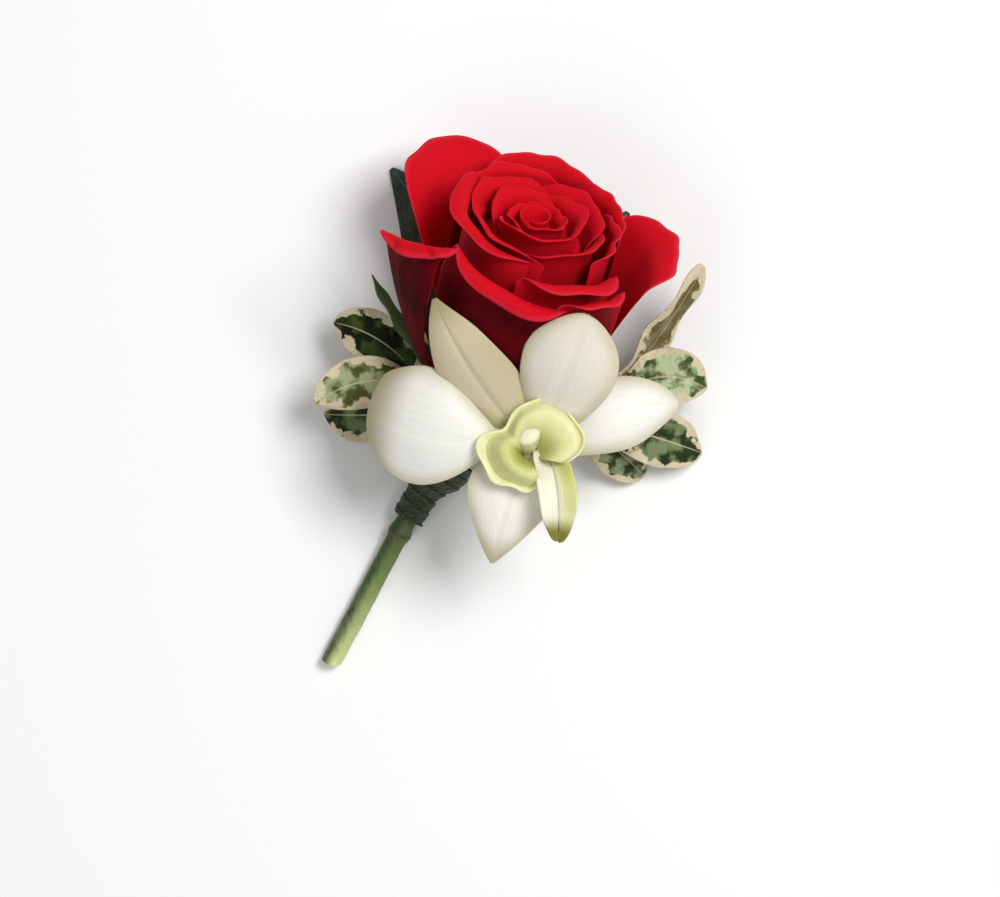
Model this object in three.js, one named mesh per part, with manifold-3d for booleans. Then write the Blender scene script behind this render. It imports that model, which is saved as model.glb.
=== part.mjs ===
// A boutonniere lying on its back: an open red rose, a white dendrobium bloom in front of its stem,
// variegated pittosporum on both sides, a fan of dark leaves behind, all bound with stem wrap tape.
// Millimetres. +Z is up from the surface that it lies on, +Y runs towards the rose, +X to its right.
import * as THREE from "three";
import { mergeVertices } from "three/addons/utils/BufferGeometryUtils.js";
import Module from "manifold-3d";

const wasm = await Module();
wasm.setup();

// Driving dimensions
const PETAL_THICKNESS = 0.7;
const TEPAL_THICKNESS = 0.9;
const LEAF_THICKNESS = 0.8;
const TAPE_THICKNESS = 0.7;

const ROSE_SEAT = new THREE.Vector3(-1.5, 9.5, 10.5); // where the petals leave the hip
const ROSE_TILT = 52; // degrees between the rose's axis and straight up
const ROSE_TURN = 15; // degrees that its axis turns to the right of +Y, seen from above
const BINDING = [-8, 0.5, 5.9]; // a point of the rose stem's line, in the middle of the bundle

const STEM_RADIUS = 1.75;
const HIP_RADIUS = 3.9;
const HIP_LENGTH = 6.5;

// Solids

/** A closed solid of the given vertices and triangles. */
function solidOf(vertices, triangles) {
  const vertProperties = new Float32Array(vertices.flatMap((p) => [p.x, p.y, p.z]));
  const triVerts = new Uint32Array(triangles.flat());
  return new wasm.Manifold(new wasm.Mesh({ numProp: 3, vertProperties, triVerts }));
}

/** A closed three.js geometry as a solid. */
function closedSolid(geometry) {
  const bare = new THREE.BufferGeometry().setAttribute("position", geometry.getAttribute("position"));
  const merged = mergeVertices(bare.setIndex(geometry.index), 1e-4);
  const position = merged.getAttribute("position");
  const vertices = Array.from({ length: position.count }, (_, k) =>
    new THREE.Vector3().fromBufferAttribute(position, k),
  );
  const index = [...merged.index.array];
  const triangles = Array.from({ length: index.length / 3 }, (_, k) => index.slice(3 * k, 3 * k + 3));
  return solidOf(
    vertices,
    triangles.filter((corners) => new Set(corners).size === 3),
  );
}

/** The solids joined as one body, with sealed hollows filled and loose scraps dropped. */
function join(solids) {
  const bodies = wasm.Manifold.union(solids).decompose();
  return bodies.reduce((a, b) => (a.volume() > b.volume() ? a : b));
}

/** The part of a solid above the surface that the boutonniere lies on. */
function aboveSurface(solid) {
  return solid.trimByPlane([0, 0, 1], 0);
}

// Blades and stalks

const radians = THREE.MathUtils.degToRad;
const smooth = (t) => THREE.MathUtils.smoothstep(t, 0, 1);
const point = ([x, y, z]) => new THREE.Vector3(x, y, z);
const curveThrough = (points) => new THREE.CatmullRomCurve3(points.map(point), false, "centripetal");

/**
 * A thin closed blade. surface(u, v) is its middle surface, with u across it from -1 to 1 and
 * v along it from 0 at the root to 1 at the tip. Its rows lie closer together towards the tip,
 * and both faces are split into triangles alike.
 */
function bladeSolid(surface, thickness, across, along) {
  const STEP = 1e-3;
  const CROWDING = 0.35;
  const faces = { front: [], back: [] };
  for (let j = 0; j <= along; j++) {
    const share = j / along;
    const v = CROWDING * Math.sin((Math.PI / 2) * share) + (1 - CROWDING) * share;
    for (let i = 0; i <= across; i++) {
      const u = (2 * i) / across - 1;
      const middle = surface(u, v);
      const alongU = surface(u + STEP, v).sub(surface(u - STEP, v));
      const alongV = surface(u, v + STEP).sub(surface(u, v - STEP));
      const offset = alongU.cross(alongV).setLength(thickness / 2);
      faces.front.push(middle.clone().add(offset));
      faces.back.push(middle.clone().sub(offset));
    }
  }
  const count = faces.front.length;
  const at = (i, j) => j * (across + 1) + i;
  const triangles = [];
  const quad = (a, b, c, d) => triangles.push([a, b, c], [a, c, d]);
  for (let j = 0; j < along; j++) {
    for (let i = 0; i < across; i++) {
      const [a, b, c, d] = [at(i, j), at(i + 1, j), at(i + 1, j + 1), at(i, j + 1)];
      triangles.push([a, b, c], [a, c, d]);
      triangles.push([a + count, c + count, b + count], [a + count, d + count, c + count]);
    }
  }
  const rim = (from, to) => quad(from + count, to + count, to, from);
  for (let i = 0; i < across; i++) {
    rim(at(i, 0), at(i + 1, 0));
    rim(at(i + 1, along), at(i, along));
  }
  for (let j = 0; j < along; j++) {
    rim(at(0, j + 1), at(0, j));
    rim(at(across, j), at(across, j + 1));
  }
  return solidOf([...faces.front, ...faces.back], triangles);
}

/**
 * A closed round stalk along a share of a curve, of radius radiusAt(v) at share v of the whole
 * curve. endCut slants its first end.
 */
function stalkSolid(curve, radiusAt, form = {}) {
  const { sides = 8, steps = 10, from = 0, to = 1, endCut = [0, 0, 0] } = form;
  const vertices = [];
  const triangles = [];
  let side = new THREE.Vector3(1, 0, 0);
  for (let j = 0; j <= steps; j++) {
    const v = from + ((to - from) * j) / steps;
    const tangent = curve.getTangentAt(v);
    side = side.sub(tangent.clone().multiplyScalar(side.dot(tangent))).normalize();
    const up = tangent.clone().cross(side);
    const middle = curve.getPointAt(v);
    for (let i = 0; i < sides; i++) {
      const angle = (2 * Math.PI * i) / sides;
      const radial = side.clone().multiplyScalar(Math.cos(angle));
      radial.addScaledVector(up, Math.sin(angle)).multiplyScalar(radiusAt(v));
      if (j === 0) radial.addScaledVector(tangent, radial.dot(point(endCut)));
      vertices.push(middle.clone().add(radial));
    }
  }
  for (let j = 0; j < steps; j++) {
    for (let i = 0; i < sides; i++) {
      const [a, b] = [j * sides + i, j * sides + ((i + 1) % sides)];
      triangles.push([a, b, b + sides], [a, b + sides, a + sides]);
    }
  }
  const last = steps * sides;
  for (let i = 1; i < sides - 1; i++) {
    triangles.push([0, i + 1, i]);
    triangles.push([last, last + i, last + i + 1]);
  }
  return solidOf(vertices, triangles);
}

// The rose bloom

const roseAxis = new THREE.Vector3(
  Math.sin(radians(ROSE_TILT)) * Math.sin(radians(ROSE_TURN)),
  Math.sin(radians(ROSE_TILT)) * Math.cos(radians(ROSE_TURN)),
  Math.cos(radians(ROSE_TILT)),
);
const roseSide = new THREE.Vector3(Math.cos(radians(ROSE_TURN)), -Math.sin(radians(ROSE_TURN)), 0);
const roseBack = roseAxis.clone().cross(roseSide);

/** A point of the rose from its radius about the axis, azimuth in radians and height over the hip. */
function rosePoint(radius, azimuth, height) {
  return ROSE_SEAT.clone()
    .addScaledVector(roseAxis, height)
    .addScaledVector(roseSide, radius * Math.cos(azimuth))
    .addScaledVector(roseBack, radius * Math.sin(azimuth));
}

/** Radius and height at share t of a petal's length: a cup up to its rim, then a margin curled out. */
function petalProfile(petal, t) {
  const CUP_SHARE = 0.8;
  const ROOT = { r: 1.8, h: 1.2 };
  const { radius, height, foot, belly, roll, curl } = petal;
  const r = [ROOT.r, radius * foot, radius * belly, radius];
  const h = [ROOT.h, height * 0.06, height * 0.55, height];
  const s = Math.min(t / CUP_SHARE, 1);
  const weights = [(1 - s) ** 3, 3 * s * (1 - s) ** 2, 3 * s * s * (1 - s), s ** 3];
  const profile = { r: 0, h: 0 };
  weights.forEach((weight, k) => {
    profile.r += weight * r[k];
    profile.h += weight * h[k];
  });
  if (t > CUP_SHARE) {
    const share = (t - CUP_SHARE) / (1 - CUP_SHARE);
    const start = Math.atan2(r[3] - r[2], h[3] - h[2]);
    const turn = radians(curl);
    profile.r += (roll * (Math.cos(start) - Math.cos(start + turn * share))) / turn;
    profile.h += (roll * (Math.sin(start + turn * share) - Math.sin(start))) / turn;
  }
  return profile;
}

/**
 * The middle surface of one rose petal. Its rim leans out by flare and up by slope millimetres
 * towards u = 1, one margin laps over the next petal, and the rim waves. The petal's foot wraps
 * less of the rose than its rim does.
 */
function petalSurface(petal) {
  const FOOT_WRAP = 0.6;
  const WAVES = 1.3;
  const { azimuth, span, corner, from, flare, slope, lap, wave } = petal;
  return (u, v) => {
    const t = (from + (1 - from) * v) * (1 - corner * Math.abs(u) ** 3);
    const { r, h } = petalProfile(petal, t);
    const wrap = FOOT_WRAP + (1 - FOOT_WRAP) * smooth(t / 0.6);
    const ripple = wave * Math.sin(2 * Math.PI * WAVES * u + azimuth) * t ** 3;
    const radius = r + lap * u * smooth(t / 0.4) + flare * u * t ** 3 + ripple;
    return rosePoint(radius, radians(azimuth + u * span * wrap), h + slope * u * t ** 2);
  };
}

const PETAL = {
  foot: 0.85,
  belly: 1.02,
  corner: 0.2,
  from: 0,
  flare: 0,
  slope: 0,
  lap: 0.6,
  wave: 0.3,
  roll: 2,
  curl: 70,
};

// Rings from the bud outwards, each with its petals evenly round the axis. A petal with from above
// 0 starts that far up, inside the heart.
const PETAL_RINGS = [
  { count: 3, first: 70, radius: 5.2, height: 37.4, span: 76, roll: 1, curl: 50, from: 0.5 },
  { count: 3, first: 20, radius: 7.6, height: 37, span: 72, roll: 1.4, curl: 60, from: 0.5 },
  { count: 4, first: 45, radius: 10, height: 36.6, span: 56, roll: 1.8, curl: 70, from: 0.4 },
];

// The middle petals, each placed for itself.
const MIDDLE_PETALS = [
  { azimuth: 130, radius: 13, height: 37, span: 48, curl: 75 },
  { azimuth: 213, radius: 12.4, height: 37.2, span: 58, roll: 1.2, curl: 60, flare: -5, corner: 0.12 },
  { azimuth: 305, radius: 13, height: 34.6, span: 56, roll: 3, curl: 110, flare: 2 },
  { azimuth: 5, radius: 13, height: 35.6, span: 36, curl: 90 },
].map((petal) => ({ from: 0.3, ...petal }));

// The outer petals, which start at the hip.
const WIDE_OPEN = { belly: 0.74, foot: 0.72, roll: 6 };
const STRAIGHT = { belly: 0.9, corner: 0.08 };
const OUTER_PETALS = [
  { azimuth: 46, radius: 15, height: 35.4, span: 36, roll: 2.6, curl: 80 },
  { azimuth: 92, radius: 16, height: 35.8, span: 40, roll: 3.4, curl: 75 },
  { azimuth: 258, radius: 14.2, height: 32, span: 46, roll: 3.4, curl: 115, flare: 0.6, slope: -1.6 },
  { azimuth: 142, radius: 22.6, height: 32, span: 34, curl: 60, corner: 0.34, ...WIDE_OPEN },
  { azimuth: 207, radius: 17.4, height: 31, span: 29, curl: 60, flare: -10.4, slope: 6, ...STRAIGHT },
  { azimuth: 334, radius: 15.4, height: 31.6, span: 34, roll: 2.4, curl: 90, flare: 1.6 },
  { azimuth: 22, radius: 21.6, height: 30, span: 30, curl: 80, ...WIDE_OPEN },
  { azimuth: 84, radius: 18, height: 31, span: 44, roll: 4, curl: 90 },
];

/** One petal's blade: fewer faces where its foot is inside the heart. */
function petalBlade(petal) {
  const whole = { ...PETAL, ...petal };
  const across = whole.from < 0.4 ? 8 : 6;
  const along = whole.from > 0 ? 4 : 6;
  return bladeSolid(petalSurface(whole), PETAL_THICKNESS, across, along);
}

/** The closed bud: one petal rolled up into a spiral that opens out at its rim. */
function budSurface(u, v) {
  const TURNS = 1.5;
  const START = 200; // azimuth in degrees of its inner margin
  const FOOT = 31; // height over the hip at which it leaves the heart
  const RISE = 7.4;
  const turns = (TURNS * (u + 1)) / 2;
  const radius = (0.7 + 2 * turns) * (0.75 + 0.25 * v) + 0.4 * v ** 6;
  return rosePoint(radius, radians(START + 360 * turns), FOOT + RISE * v - 1.2 * u * u * v);
}

/** The solid heart of the rose, which the petals stand out of, turned onto its axis. */
function roseHeart() {
  const SIDES = 14;
  const profile = new THREE.CatmullRomCurve3(
    [
      [4.2, 0.3, 0],
      [7.4, 3.5, 0],
      [9.2, 11, 0],
      [8.6, 24, 0],
      [5.5, 31.5, 0],
    ].map(point),
  );
  const wall = profile.getPoints(6).map(({ x, y }) => new THREE.Vector2(x, y));
  const closed = [new THREE.Vector2(0, 0.3), ...wall, new THREE.Vector2(0, 34.5)];
  const place = new THREE.Matrix4().makeBasis(roseSide, roseAxis, roseBack.clone().negate());
  return closedSolid(new THREE.LatheGeometry(closed, SIDES).applyMatrix4(place.setPosition(ROSE_SEAT)));
}

function roseBloom() {
  const ringPetals = PETAL_RINGS.flatMap((ring) =>
    Array.from({ length: ring.count }, (_, k) => ({ ...ring, azimuth: ring.first + (360 * k) / ring.count })),
  );
  const blades = [...ringPetals, ...MIDDLE_PETALS, ...OUTER_PETALS].map(petalBlade);
  const bud = bladeSolid(budSurface, PETAL_THICKNESS, 15, 2);
  return join([roseHeart(), bud, ...blades]);
}

// Blades on a bent midrib: leaves, sepals and the orchid's tepals

/**
 * Half width at share v of a blade's length, widest at peak. It stays narrow over the share called
 * petiole, and a high fullness gives it a rounder end.
 */
function outline({ halfWidth, peak, fullness, stalk, petiole = 0 }, v) {
  const TIP = 0.3;
  const t = THREE.MathUtils.clamp((v - petiole) / (1 - petiole), 0, 1);
  const bulge = Math.sin(Math.PI * t ** (Math.log(0.5) / Math.log(peak)));
  const neck = stalk + (TIP - stalk) * v;
  return neck + (halfWidth - neck) * Math.max(0, bulge) ** (1 / fullness);
}

/**
 * The middle surface of a blade from root through bend to tip. facing is the way its front looks,
 * cup curls the margins back (forward below 0), fold tents it along the midrib and wave ruffles it.
 */
function midribSurface(blade) {
  const { root, bend, tip, facing = [0, 0, 1], cup, fold = 0, wave = 0, waves = 0 } = blade;
  const OFFBEAT = 1.9; // radians between the ruffles of the two margins
  const curve = new THREE.QuadraticBezierCurve3(point(root), point(bend), point(tip));
  return (u, v) => {
    const tangent = curve.getTangent(THREE.MathUtils.clamp(v, 0, 1));
    const side = tangent.clone().cross(point(facing)).normalize();
    const front = side.clone().cross(tangent);
    const width = outline(blade, v);
    const ruffle = wave * Math.sin(2 * Math.PI * waves * v + (u > 0 ? 0 : OFFBEAT)) * u * u;
    return curve
      .getPoint(v)
      .addScaledVector(side, (width * Math.sin(cup * u)) / cup)
      .addScaledVector(front, width * ((Math.cos(cup * u) - 1) / cup + fold * Math.abs(u)) + ruffle);
  };
}

// The rose's stem, hip and sepals

const STEM_CURVE = curveThrough([
  [-29.2, -36.6, 1.7],
  [-24.7, -28.2, 1.9],
  [-18.6, -16.6, 2.8],
  [-13.8, -8.2, 4.6],
  BINDING,
  rosePoint(0, 0, -HIP_LENGTH - 1.5).toArray(),
  rosePoint(0, 0, -HIP_LENGTH / 2).toArray(),
  rosePoint(0, 0, 0).toArray(),
]);
const SCAR_AT = 0.445; // share of the stem's length where a leaf has come off
const HIP_AT = 0.87; // share of its length where the hip begins to swell

/** The stem's radius at share v of its length: a leaf scar low down, and the hip at its top. */
function stemRadius(v) {
  const scar = 0.4 * Math.exp(-(((v - SCAR_AT) / 0.02) ** 2));
  const neck = 0.15 * smooth((v - 0.5) / 0.3);
  const hip = (HIP_RADIUS - STEM_RADIUS) * smooth((v - HIP_AT) / 0.08);
  return STEM_RADIUS + scar + neck + hip;
}

const SEPAL = { halfWidth: 2.6, peak: 0.3, fullness: 1.2, stalk: 1.6, cup: 0.5 };
const SEPAL_ROOT = [3, -2.4];
const SEPALS = [
  { azimuth: 176, bend: [17.2, 6.6], tip: [24.6, 16.5] },
  { azimuth: 228, bend: [12, -3.5], tip: [18, 3] },
  { azimuth: 281, bend: [14.4, 2.2], tip: [15.5, 26.5] },
  { azimuth: 26, bend: [13, -1.5], tip: [20, 5.5] },
  { azimuth: 92, bend: [5, -1], tip: [9, 2.5] },
]; // each with the radius and height about the rose's axis of its bend and tip

function sepalBlade({ azimuth, bend, tip }) {
  const place = ([radius, height]) => rosePoint(radius, radians(azimuth), height).toArray();
  const reach = { root: place(SEPAL_ROOT), bend: place(bend), tip: place(tip), facing: roseAxis.toArray() };
  return bladeSolid(midribSurface({ ...SEPAL, ...reach }), LEAF_THICKNESS, 4, 7);
}

function roseStem() {
  const stem = stalkSolid(STEM_CURVE, stemRadius, { sides: 10, steps: 30, endCut: [0.5, 0.6, -0.4] });
  return join([stem, ...SEPALS.map(sepalBlade)]);
}

// The orchid

const CHIN = [4.6, 0.9, 25.9]; // the blunt spur behind the flower, where its stalk begins
const TEPAL = { peak: 0.55, fullness: 1.9, stalk: 1.8, cup: 0.6 };
const TEPALS = {
  leftPetal: { root: [4, 1.5, 27.8], bend: [-10, 6, 38], tip: [-22.3, 5.2, 26.5], halfWidth: 10.8 },
  rightPetal: { root: [5.5, 2, 27.8], bend: [11, 11, 41.8], tip: [14, 22, 42], halfWidth: 8.6 },
  dorsalSepal: { root: [4, 2, 27.8], bend: [-6.4, 13, 41], tip: [-10.7, 24.7, 38.9], halfWidth: 5.6 },
  rightSepal: { root: [6, 1, 27.8], bend: [20, 7.5, 35], tip: [31, 7.8, 27], halfWidth: 6.4 },
  lowerSepal: { root: [4.5, 0, 27.8], bend: [0.8, -8, 34], tip: [-1.3, -18.8, 25.5], halfWidth: 7.7 },
};
Object.assign(TEPALS.leftPetal, { cup: 0.8, fullness: 2.6, petiole: 0.12 });
Object.assign(TEPALS.rightPetal, { cup: 0.5, peak: 0.5 });
Object.assign(TEPALS.dorsalSepal, { cup: 0.35 });
Object.assign(TEPALS.rightSepal, { cup: 0.7, peak: 0.5 });
Object.assign(TEPALS.lowerSepal, { peak: 0.45 });

/** The orchid's two petals and three sepals, all from the spur behind the flower. */
function orchidTepals() {
  const spur = new THREE.SphereGeometry(3.4, 12, 8);
  spur.scale(1, 1, 1.1).translate(...CHIN);
  const tepals = Object.values(TEPALS).map((tepal) =>
    bladeSolid(midribSurface({ ...TEPAL, ...tepal }), TEPAL_THICKNESS, 6, 8),
  );
  return join([closedSolid(spur), ...tepals]);
}

const POUCH = [5.9, -0.9, 31.6];
const LIP = { peak: 0.55, fullness: 1.8, stalk: 1.8, cup: -0.6 };
const LIP_LOBES = [
  { root: [6, -1, 30.9], bend: [7.6, -7, 37.4], tip: [9.6, -14.9, 33.3], halfWidth: 3.6 },
  { root: [5.6, -1, 30.9], bend: [-0.6, -2, 31], tip: [-1, 0.2, 37.2], halfWidth: 6, facing: [1, 0.25, 1] },
  { root: [7, -1, 30.9], bend: [9.8, 3, 39.4], tip: [8.4, 9.2, 38.8], halfWidth: 5.2, cup: 0.5 },
];
const COLUMN_CURVE = curveThrough([
  [5.8, -0.8, 31.1],
  [4.6, 0.6, 34.7],
  [4.1, 3.2, 37.6],
]);

/** The lip's pouch and three lobes with the column that arches over them, capped by its anther. */
function orchidLip() {
  const pouch = new THREE.SphereGeometry(2.2, 10, 6);
  pouch.translate(...POUCH);
  const columnRadius = (v) => 1.3 + 1.1 * Math.sin(0.85 * Math.PI * v);
  const lobes = LIP_LOBES.map((lobe) =>
    bladeSolid(midribSurface({ ...LIP, ...lobe }), TEPAL_THICKNESS, 6, 6),
  );
  return join([closedSolid(pouch), stalkSolid(COLUMN_CURVE, columnRadius, { steps: 6 }), ...lobes]);
}

/** The flower's stalk, from the bundle to the spur behind the flower. */
function orchidPedicel() {
  const [x, y, z] = CHIN;
  const curve = curveThrough([
    [-10, -2, 8.8],
    [-8, 0.4, 9.2],
    [-5, 1.4, 11.2],
    [x - 4, y - 1.6, z - 8],
    [x - 1, y - 0.5, z - 4.4],
  ]);
  return stalkSolid(curve, (v) => 1 + 0.4 * v);
}

// Greenery

const PITTOSPORUM = {
  peak: 0.62,
  fullness: 1.5,
  stalk: 0.7,
  fold: 0.12,
  cup: 0.25,
  wave: 0.7,
  waves: 2.5,
};
const EDGE_ON = [0.95, -0.8, 0.35]; // where the front of a leaf seen edge-on from above looks
const LEFT_SPRIG = {
  twig: [
    [-12.5, -0.1, 5.5],
    [-10.8, 2.7, 5.9],
    [-12, 8.5, 7.4],
    [-13.2, 12, 8.4],
  ],
  leaves: [
    { root: [-12.8, 11, 8], bend: [-19, 20, 16], tip: [-28.4, 21.8, 10], halfWidth: 4.5 },
    { root: [-12.5, 9, 8], bend: [-21, 15, 19], tip: [-31.4, 8, 14], halfWidth: 4.5 },
    { root: [-12, 7, 7], bend: [-21, 5.5, 10], tip: [-30.4, 6.2, 4], halfWidth: 4.8 },
    { root: [-13, 11, 8], bend: [-14.5, 17, 8.4], tip: [-19, 23, 5], halfWidth: 3.6 },
  ],
};
const RIGHT_SPRIG = {
  twig: [
    [-7.4, -4, 5.5],
    [-5.6, -1.6, 5.9],
    [6, 3, 7.5],
    [15, 6, 8.5],
    [19, 9, 9.5],
  ],
  leaves: [
    { root: [17, 8, 9], bend: [26, 16, 13], tip: [34.4, 31.2, 17], halfWidth: 3.6, facing: EDGE_ON },
    { root: [18, 8, 9], bend: [27, 15.5, 17], tip: [35.3, 10.5, 10.5], halfWidth: 5 },
    { root: [14, 5.5, 8], bend: [25, 3, 13], tip: [35, -0.5, 2.5], halfWidth: 5 },
    { root: [12, 5, 8], bend: [20, 1, 10], tip: [25, -4.6, 0.4], halfWidth: 4.6 },
  ],
};

/** A pittosporum twig with the leaves that grow from it. */
function sprig({ twig, leaves }) {
  const stalk = stalkSolid(curveThrough(twig), (v) => 0.95 - 0.2 * v, { steps: 12 });
  const blades = leaves.map((leaf) =>
    bladeSolid(midribSurface({ ...PITTOSPORUM, ...leaf }), LEAF_THICKNESS, 6, 10),
  );
  return join([stalk, ...blades]);
}

// The dark leaves behind everything. The middle one lies flat on the surface, under the other two.
const BACKING = {
  peak: 0.5,
  fullness: 1.2,
  stalk: 0.75,
  petiole: 0.12,
  cup: -0.1,
  fold: 0.05,
  wave: 0.15,
  waves: 2,
};
const BACKING_LEAVES = {
  left: { root: [-11.3, -0.8, 3.3], bend: [-2, 28, 4], tip: [-18.9, 49, 0.3], halfWidth: 6.5 },
  middle: { root: [-10, -2, 2.5], bend: [-3.4, 28, -0.6], tip: [2.8, 49.8, 0.5], halfWidth: 7.5 },
  right: { root: [-8.5, -3.3, 2.9], bend: [10.6, 19.5, 2.6], tip: [22.3, 41.4, 0.3], halfWidth: 6.5 },
};

function backingLeaf(leaf) {
  return bladeSolid(midribSurface({ ...BACKING, ...leaf }), LEAF_THICKNESS, 6, 10);
}

// The binding

const TAPE = { from: 0.5, to: 0.735, narrow: 2.2, wide: 4.9, taperFrom: 0.58, taperTo: 0.68 };

/** Stem wrap tape wound round the bundle: a sleeve that narrows down the rose's stem. */
function stemTape() {
  const { from, to, narrow, wide, taperFrom, taperTo } = TAPE;
  const PAST = 0.03; // share of the stem by which the bore runs past both ends of the sleeve
  const bore = (v) => narrow + (wide - narrow) * smooth((v - taperFrom) / (taperTo - taperFrom));
  const wall = (v) => bore(v) + TAPE_THICKNESS;
  const outside = stalkSolid(STEM_CURVE, wall, { sides: 12, steps: 7, from, to });
  const inside = stalkSolid(STEM_CURVE, bore, { sides: 12, steps: 8, from: from - PAST, to: to + PAST });
  return outside.subtract(inside);
}

// The whole

/** A named mesh of a solid. */
function meshOf(name, solid, color, roughness) {
  const { numProp, vertProperties, triVerts } = solid.getMesh();
  const positions = new Float32Array((vertProperties.length / numProp) * 3);
  for (let k = 0; k < positions.length / 3; k++) {
    positions.set(vertProperties.subarray(k * numProp, k * numProp + 3), 3 * k);
  }
  const geometry = new THREE.BufferGeometry();
  geometry.setAttribute("position", new THREE.BufferAttribute(positions, 3));
  geometry.setIndex(new THREE.BufferAttribute(triVerts, 1));
  geometry.computeVertexNormals();
  const mesh = new THREE.Mesh(geometry, new THREE.MeshStandardMaterial({ color, roughness }));
  mesh.name = name;
  return mesh;
}

const boutonniere = new THREE.Group();
boutonniere.add(
  meshOf("rose_bloom", roseBloom(), 0xb8101f, 0.6),
  meshOf("rose_stem", aboveSurface(roseStem()), 0x55692f, 0.55),
  meshOf("orchid_tepals", orchidTepals(), 0xf2f1e8, 0.55),
  meshOf("orchid_lip", orchidLip(), 0xdfe3a8, 0.55),
  meshOf("orchid_pedicel", orchidPedicel(), 0xa9b56a, 0.55),
  meshOf("stem_tape", aboveSurface(stemTape()), 0x33452a, 0.6),
  meshOf("pittosporum_left", aboveSurface(sprig(LEFT_SPRIG)), 0x5d7040, 0.5),
  meshOf("pittosporum_right", aboveSurface(sprig(RIGHT_SPRIG)), 0x8ba06a, 0.5),
);
for (const [place, leaf] of Object.entries(BACKING_LEAVES)) {
  boutonniere.add(meshOf(`backing_leaf_${place}`, aboveSurface(backingLeaf(leaf)), 0x2c3a24, 0.4));
}

// The origin is under the middle of the boutonniere's box, on the surface that it lies on.
const middle = new THREE.Box3().setFromObject(boutonniere, true).getCenter(new THREE.Vector3());
boutonniere.position.set(-middle.x, -middle.y, 0);

export default boutonniere;
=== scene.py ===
"""Looks of a boutonniere: a red rose and a white orchid with leaves, bound with stem wrap tape.

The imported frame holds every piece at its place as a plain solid. Each one is replaced here by a finer
mesh of the same form, dressed in a procedural material. Shapes are laid out in millimetres, in the
florist's layout that the solids follow too, and are turned into the row's metres when they are built.
"""

from __future__ import annotations

import logging
import math
from collections.abc import Callable, Sequence
from dataclasses import dataclass, replace
from enum import Enum
from functools import partial
from typing import Any

import bmesh
import bpy
import numpy as np
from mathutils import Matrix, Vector

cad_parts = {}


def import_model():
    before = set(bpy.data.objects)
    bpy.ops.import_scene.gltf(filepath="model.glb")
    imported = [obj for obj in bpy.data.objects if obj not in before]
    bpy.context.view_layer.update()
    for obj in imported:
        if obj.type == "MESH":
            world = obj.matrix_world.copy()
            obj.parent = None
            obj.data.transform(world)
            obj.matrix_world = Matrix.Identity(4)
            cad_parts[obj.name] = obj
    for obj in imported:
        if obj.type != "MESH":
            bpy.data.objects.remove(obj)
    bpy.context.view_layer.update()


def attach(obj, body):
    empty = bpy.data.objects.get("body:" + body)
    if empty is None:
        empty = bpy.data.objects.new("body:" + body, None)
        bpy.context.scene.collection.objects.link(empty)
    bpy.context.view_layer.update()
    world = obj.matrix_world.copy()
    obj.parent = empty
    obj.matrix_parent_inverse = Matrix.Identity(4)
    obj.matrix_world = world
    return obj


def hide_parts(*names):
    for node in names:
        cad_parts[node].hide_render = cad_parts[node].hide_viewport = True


LOG = logging.getLogger("boutonniere")

Array = np.ndarray
Point = tuple[float, float, float]
Places = tuple[float, float, float]
Pair = tuple[float, float]
Cells = tuple[int, int]
Surface = Callable[[Array, Array], Array]
Piece = bpy.types.Object
Mesh = bpy.types.Mesh
Material = bpy.types.Material
Node = bpy.types.Node
NodeTree = bpy.types.NodeTree

MM = 0.001
LAYOUT_TO_ROW = np.array([-1.9265, -7.9001, 0.0])  # the box's middle becomes the origin
NOWHERE: Point = (0.0, 0.0, 0.0)
SEED = 7
COLOURS: dict[str, Any] = {"data_type": "RGBA"}
EASED: dict[str, Any] = {"interpolation_type": "SMOOTHSTEP"}
GRAIN = (0.2, 0.8)  # noise limits that leave a fine grain soft
MIDRIB_CORE = 0.02  # the share of the half blade where a midrib shows in full
VEIN_DRIFT_MM = 4.0  # the stretch over which veins wander one way
LEAF_EDGE = 0.6  # a leathery leaf's margin is this share of its thickness


def row_metres(points: Array) -> Array:
    """Turns layout millimetres into the row's metres."""
    return (points + LAYOUT_TO_ROW) * MM


def smooth(share: Array | float) -> Array:
    """Eases a share from 0 to 1, clamped at both ends."""
    t = np.clip(share, 0.0, 1.0)
    return t * t * (3 - 2 * t)


def hump(value: Array, place: float, width: float) -> Array:
    """A soft hump of height 1 about a place."""
    return np.exp(-(((value - place) / width) ** 2))


def linear(code: str) -> tuple[float, float, float, float]:
    """Turns an sRGB colour into Blender's linear one.

    Args:
        code: The colour as a hex string, such as "#C01020".

    Returns:
        Linear red, green and blue, and an alpha of 1.
    """
    channels = (int(code[k : k + 2], 16) / 255 for k in (1, 3, 5))
    red, green, blue = (c / 12.92 if c <= 0.04045 else ((c + 0.055) / 1.055) ** 2.4 for c in channels)
    return red, green, blue, 1.0


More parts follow.
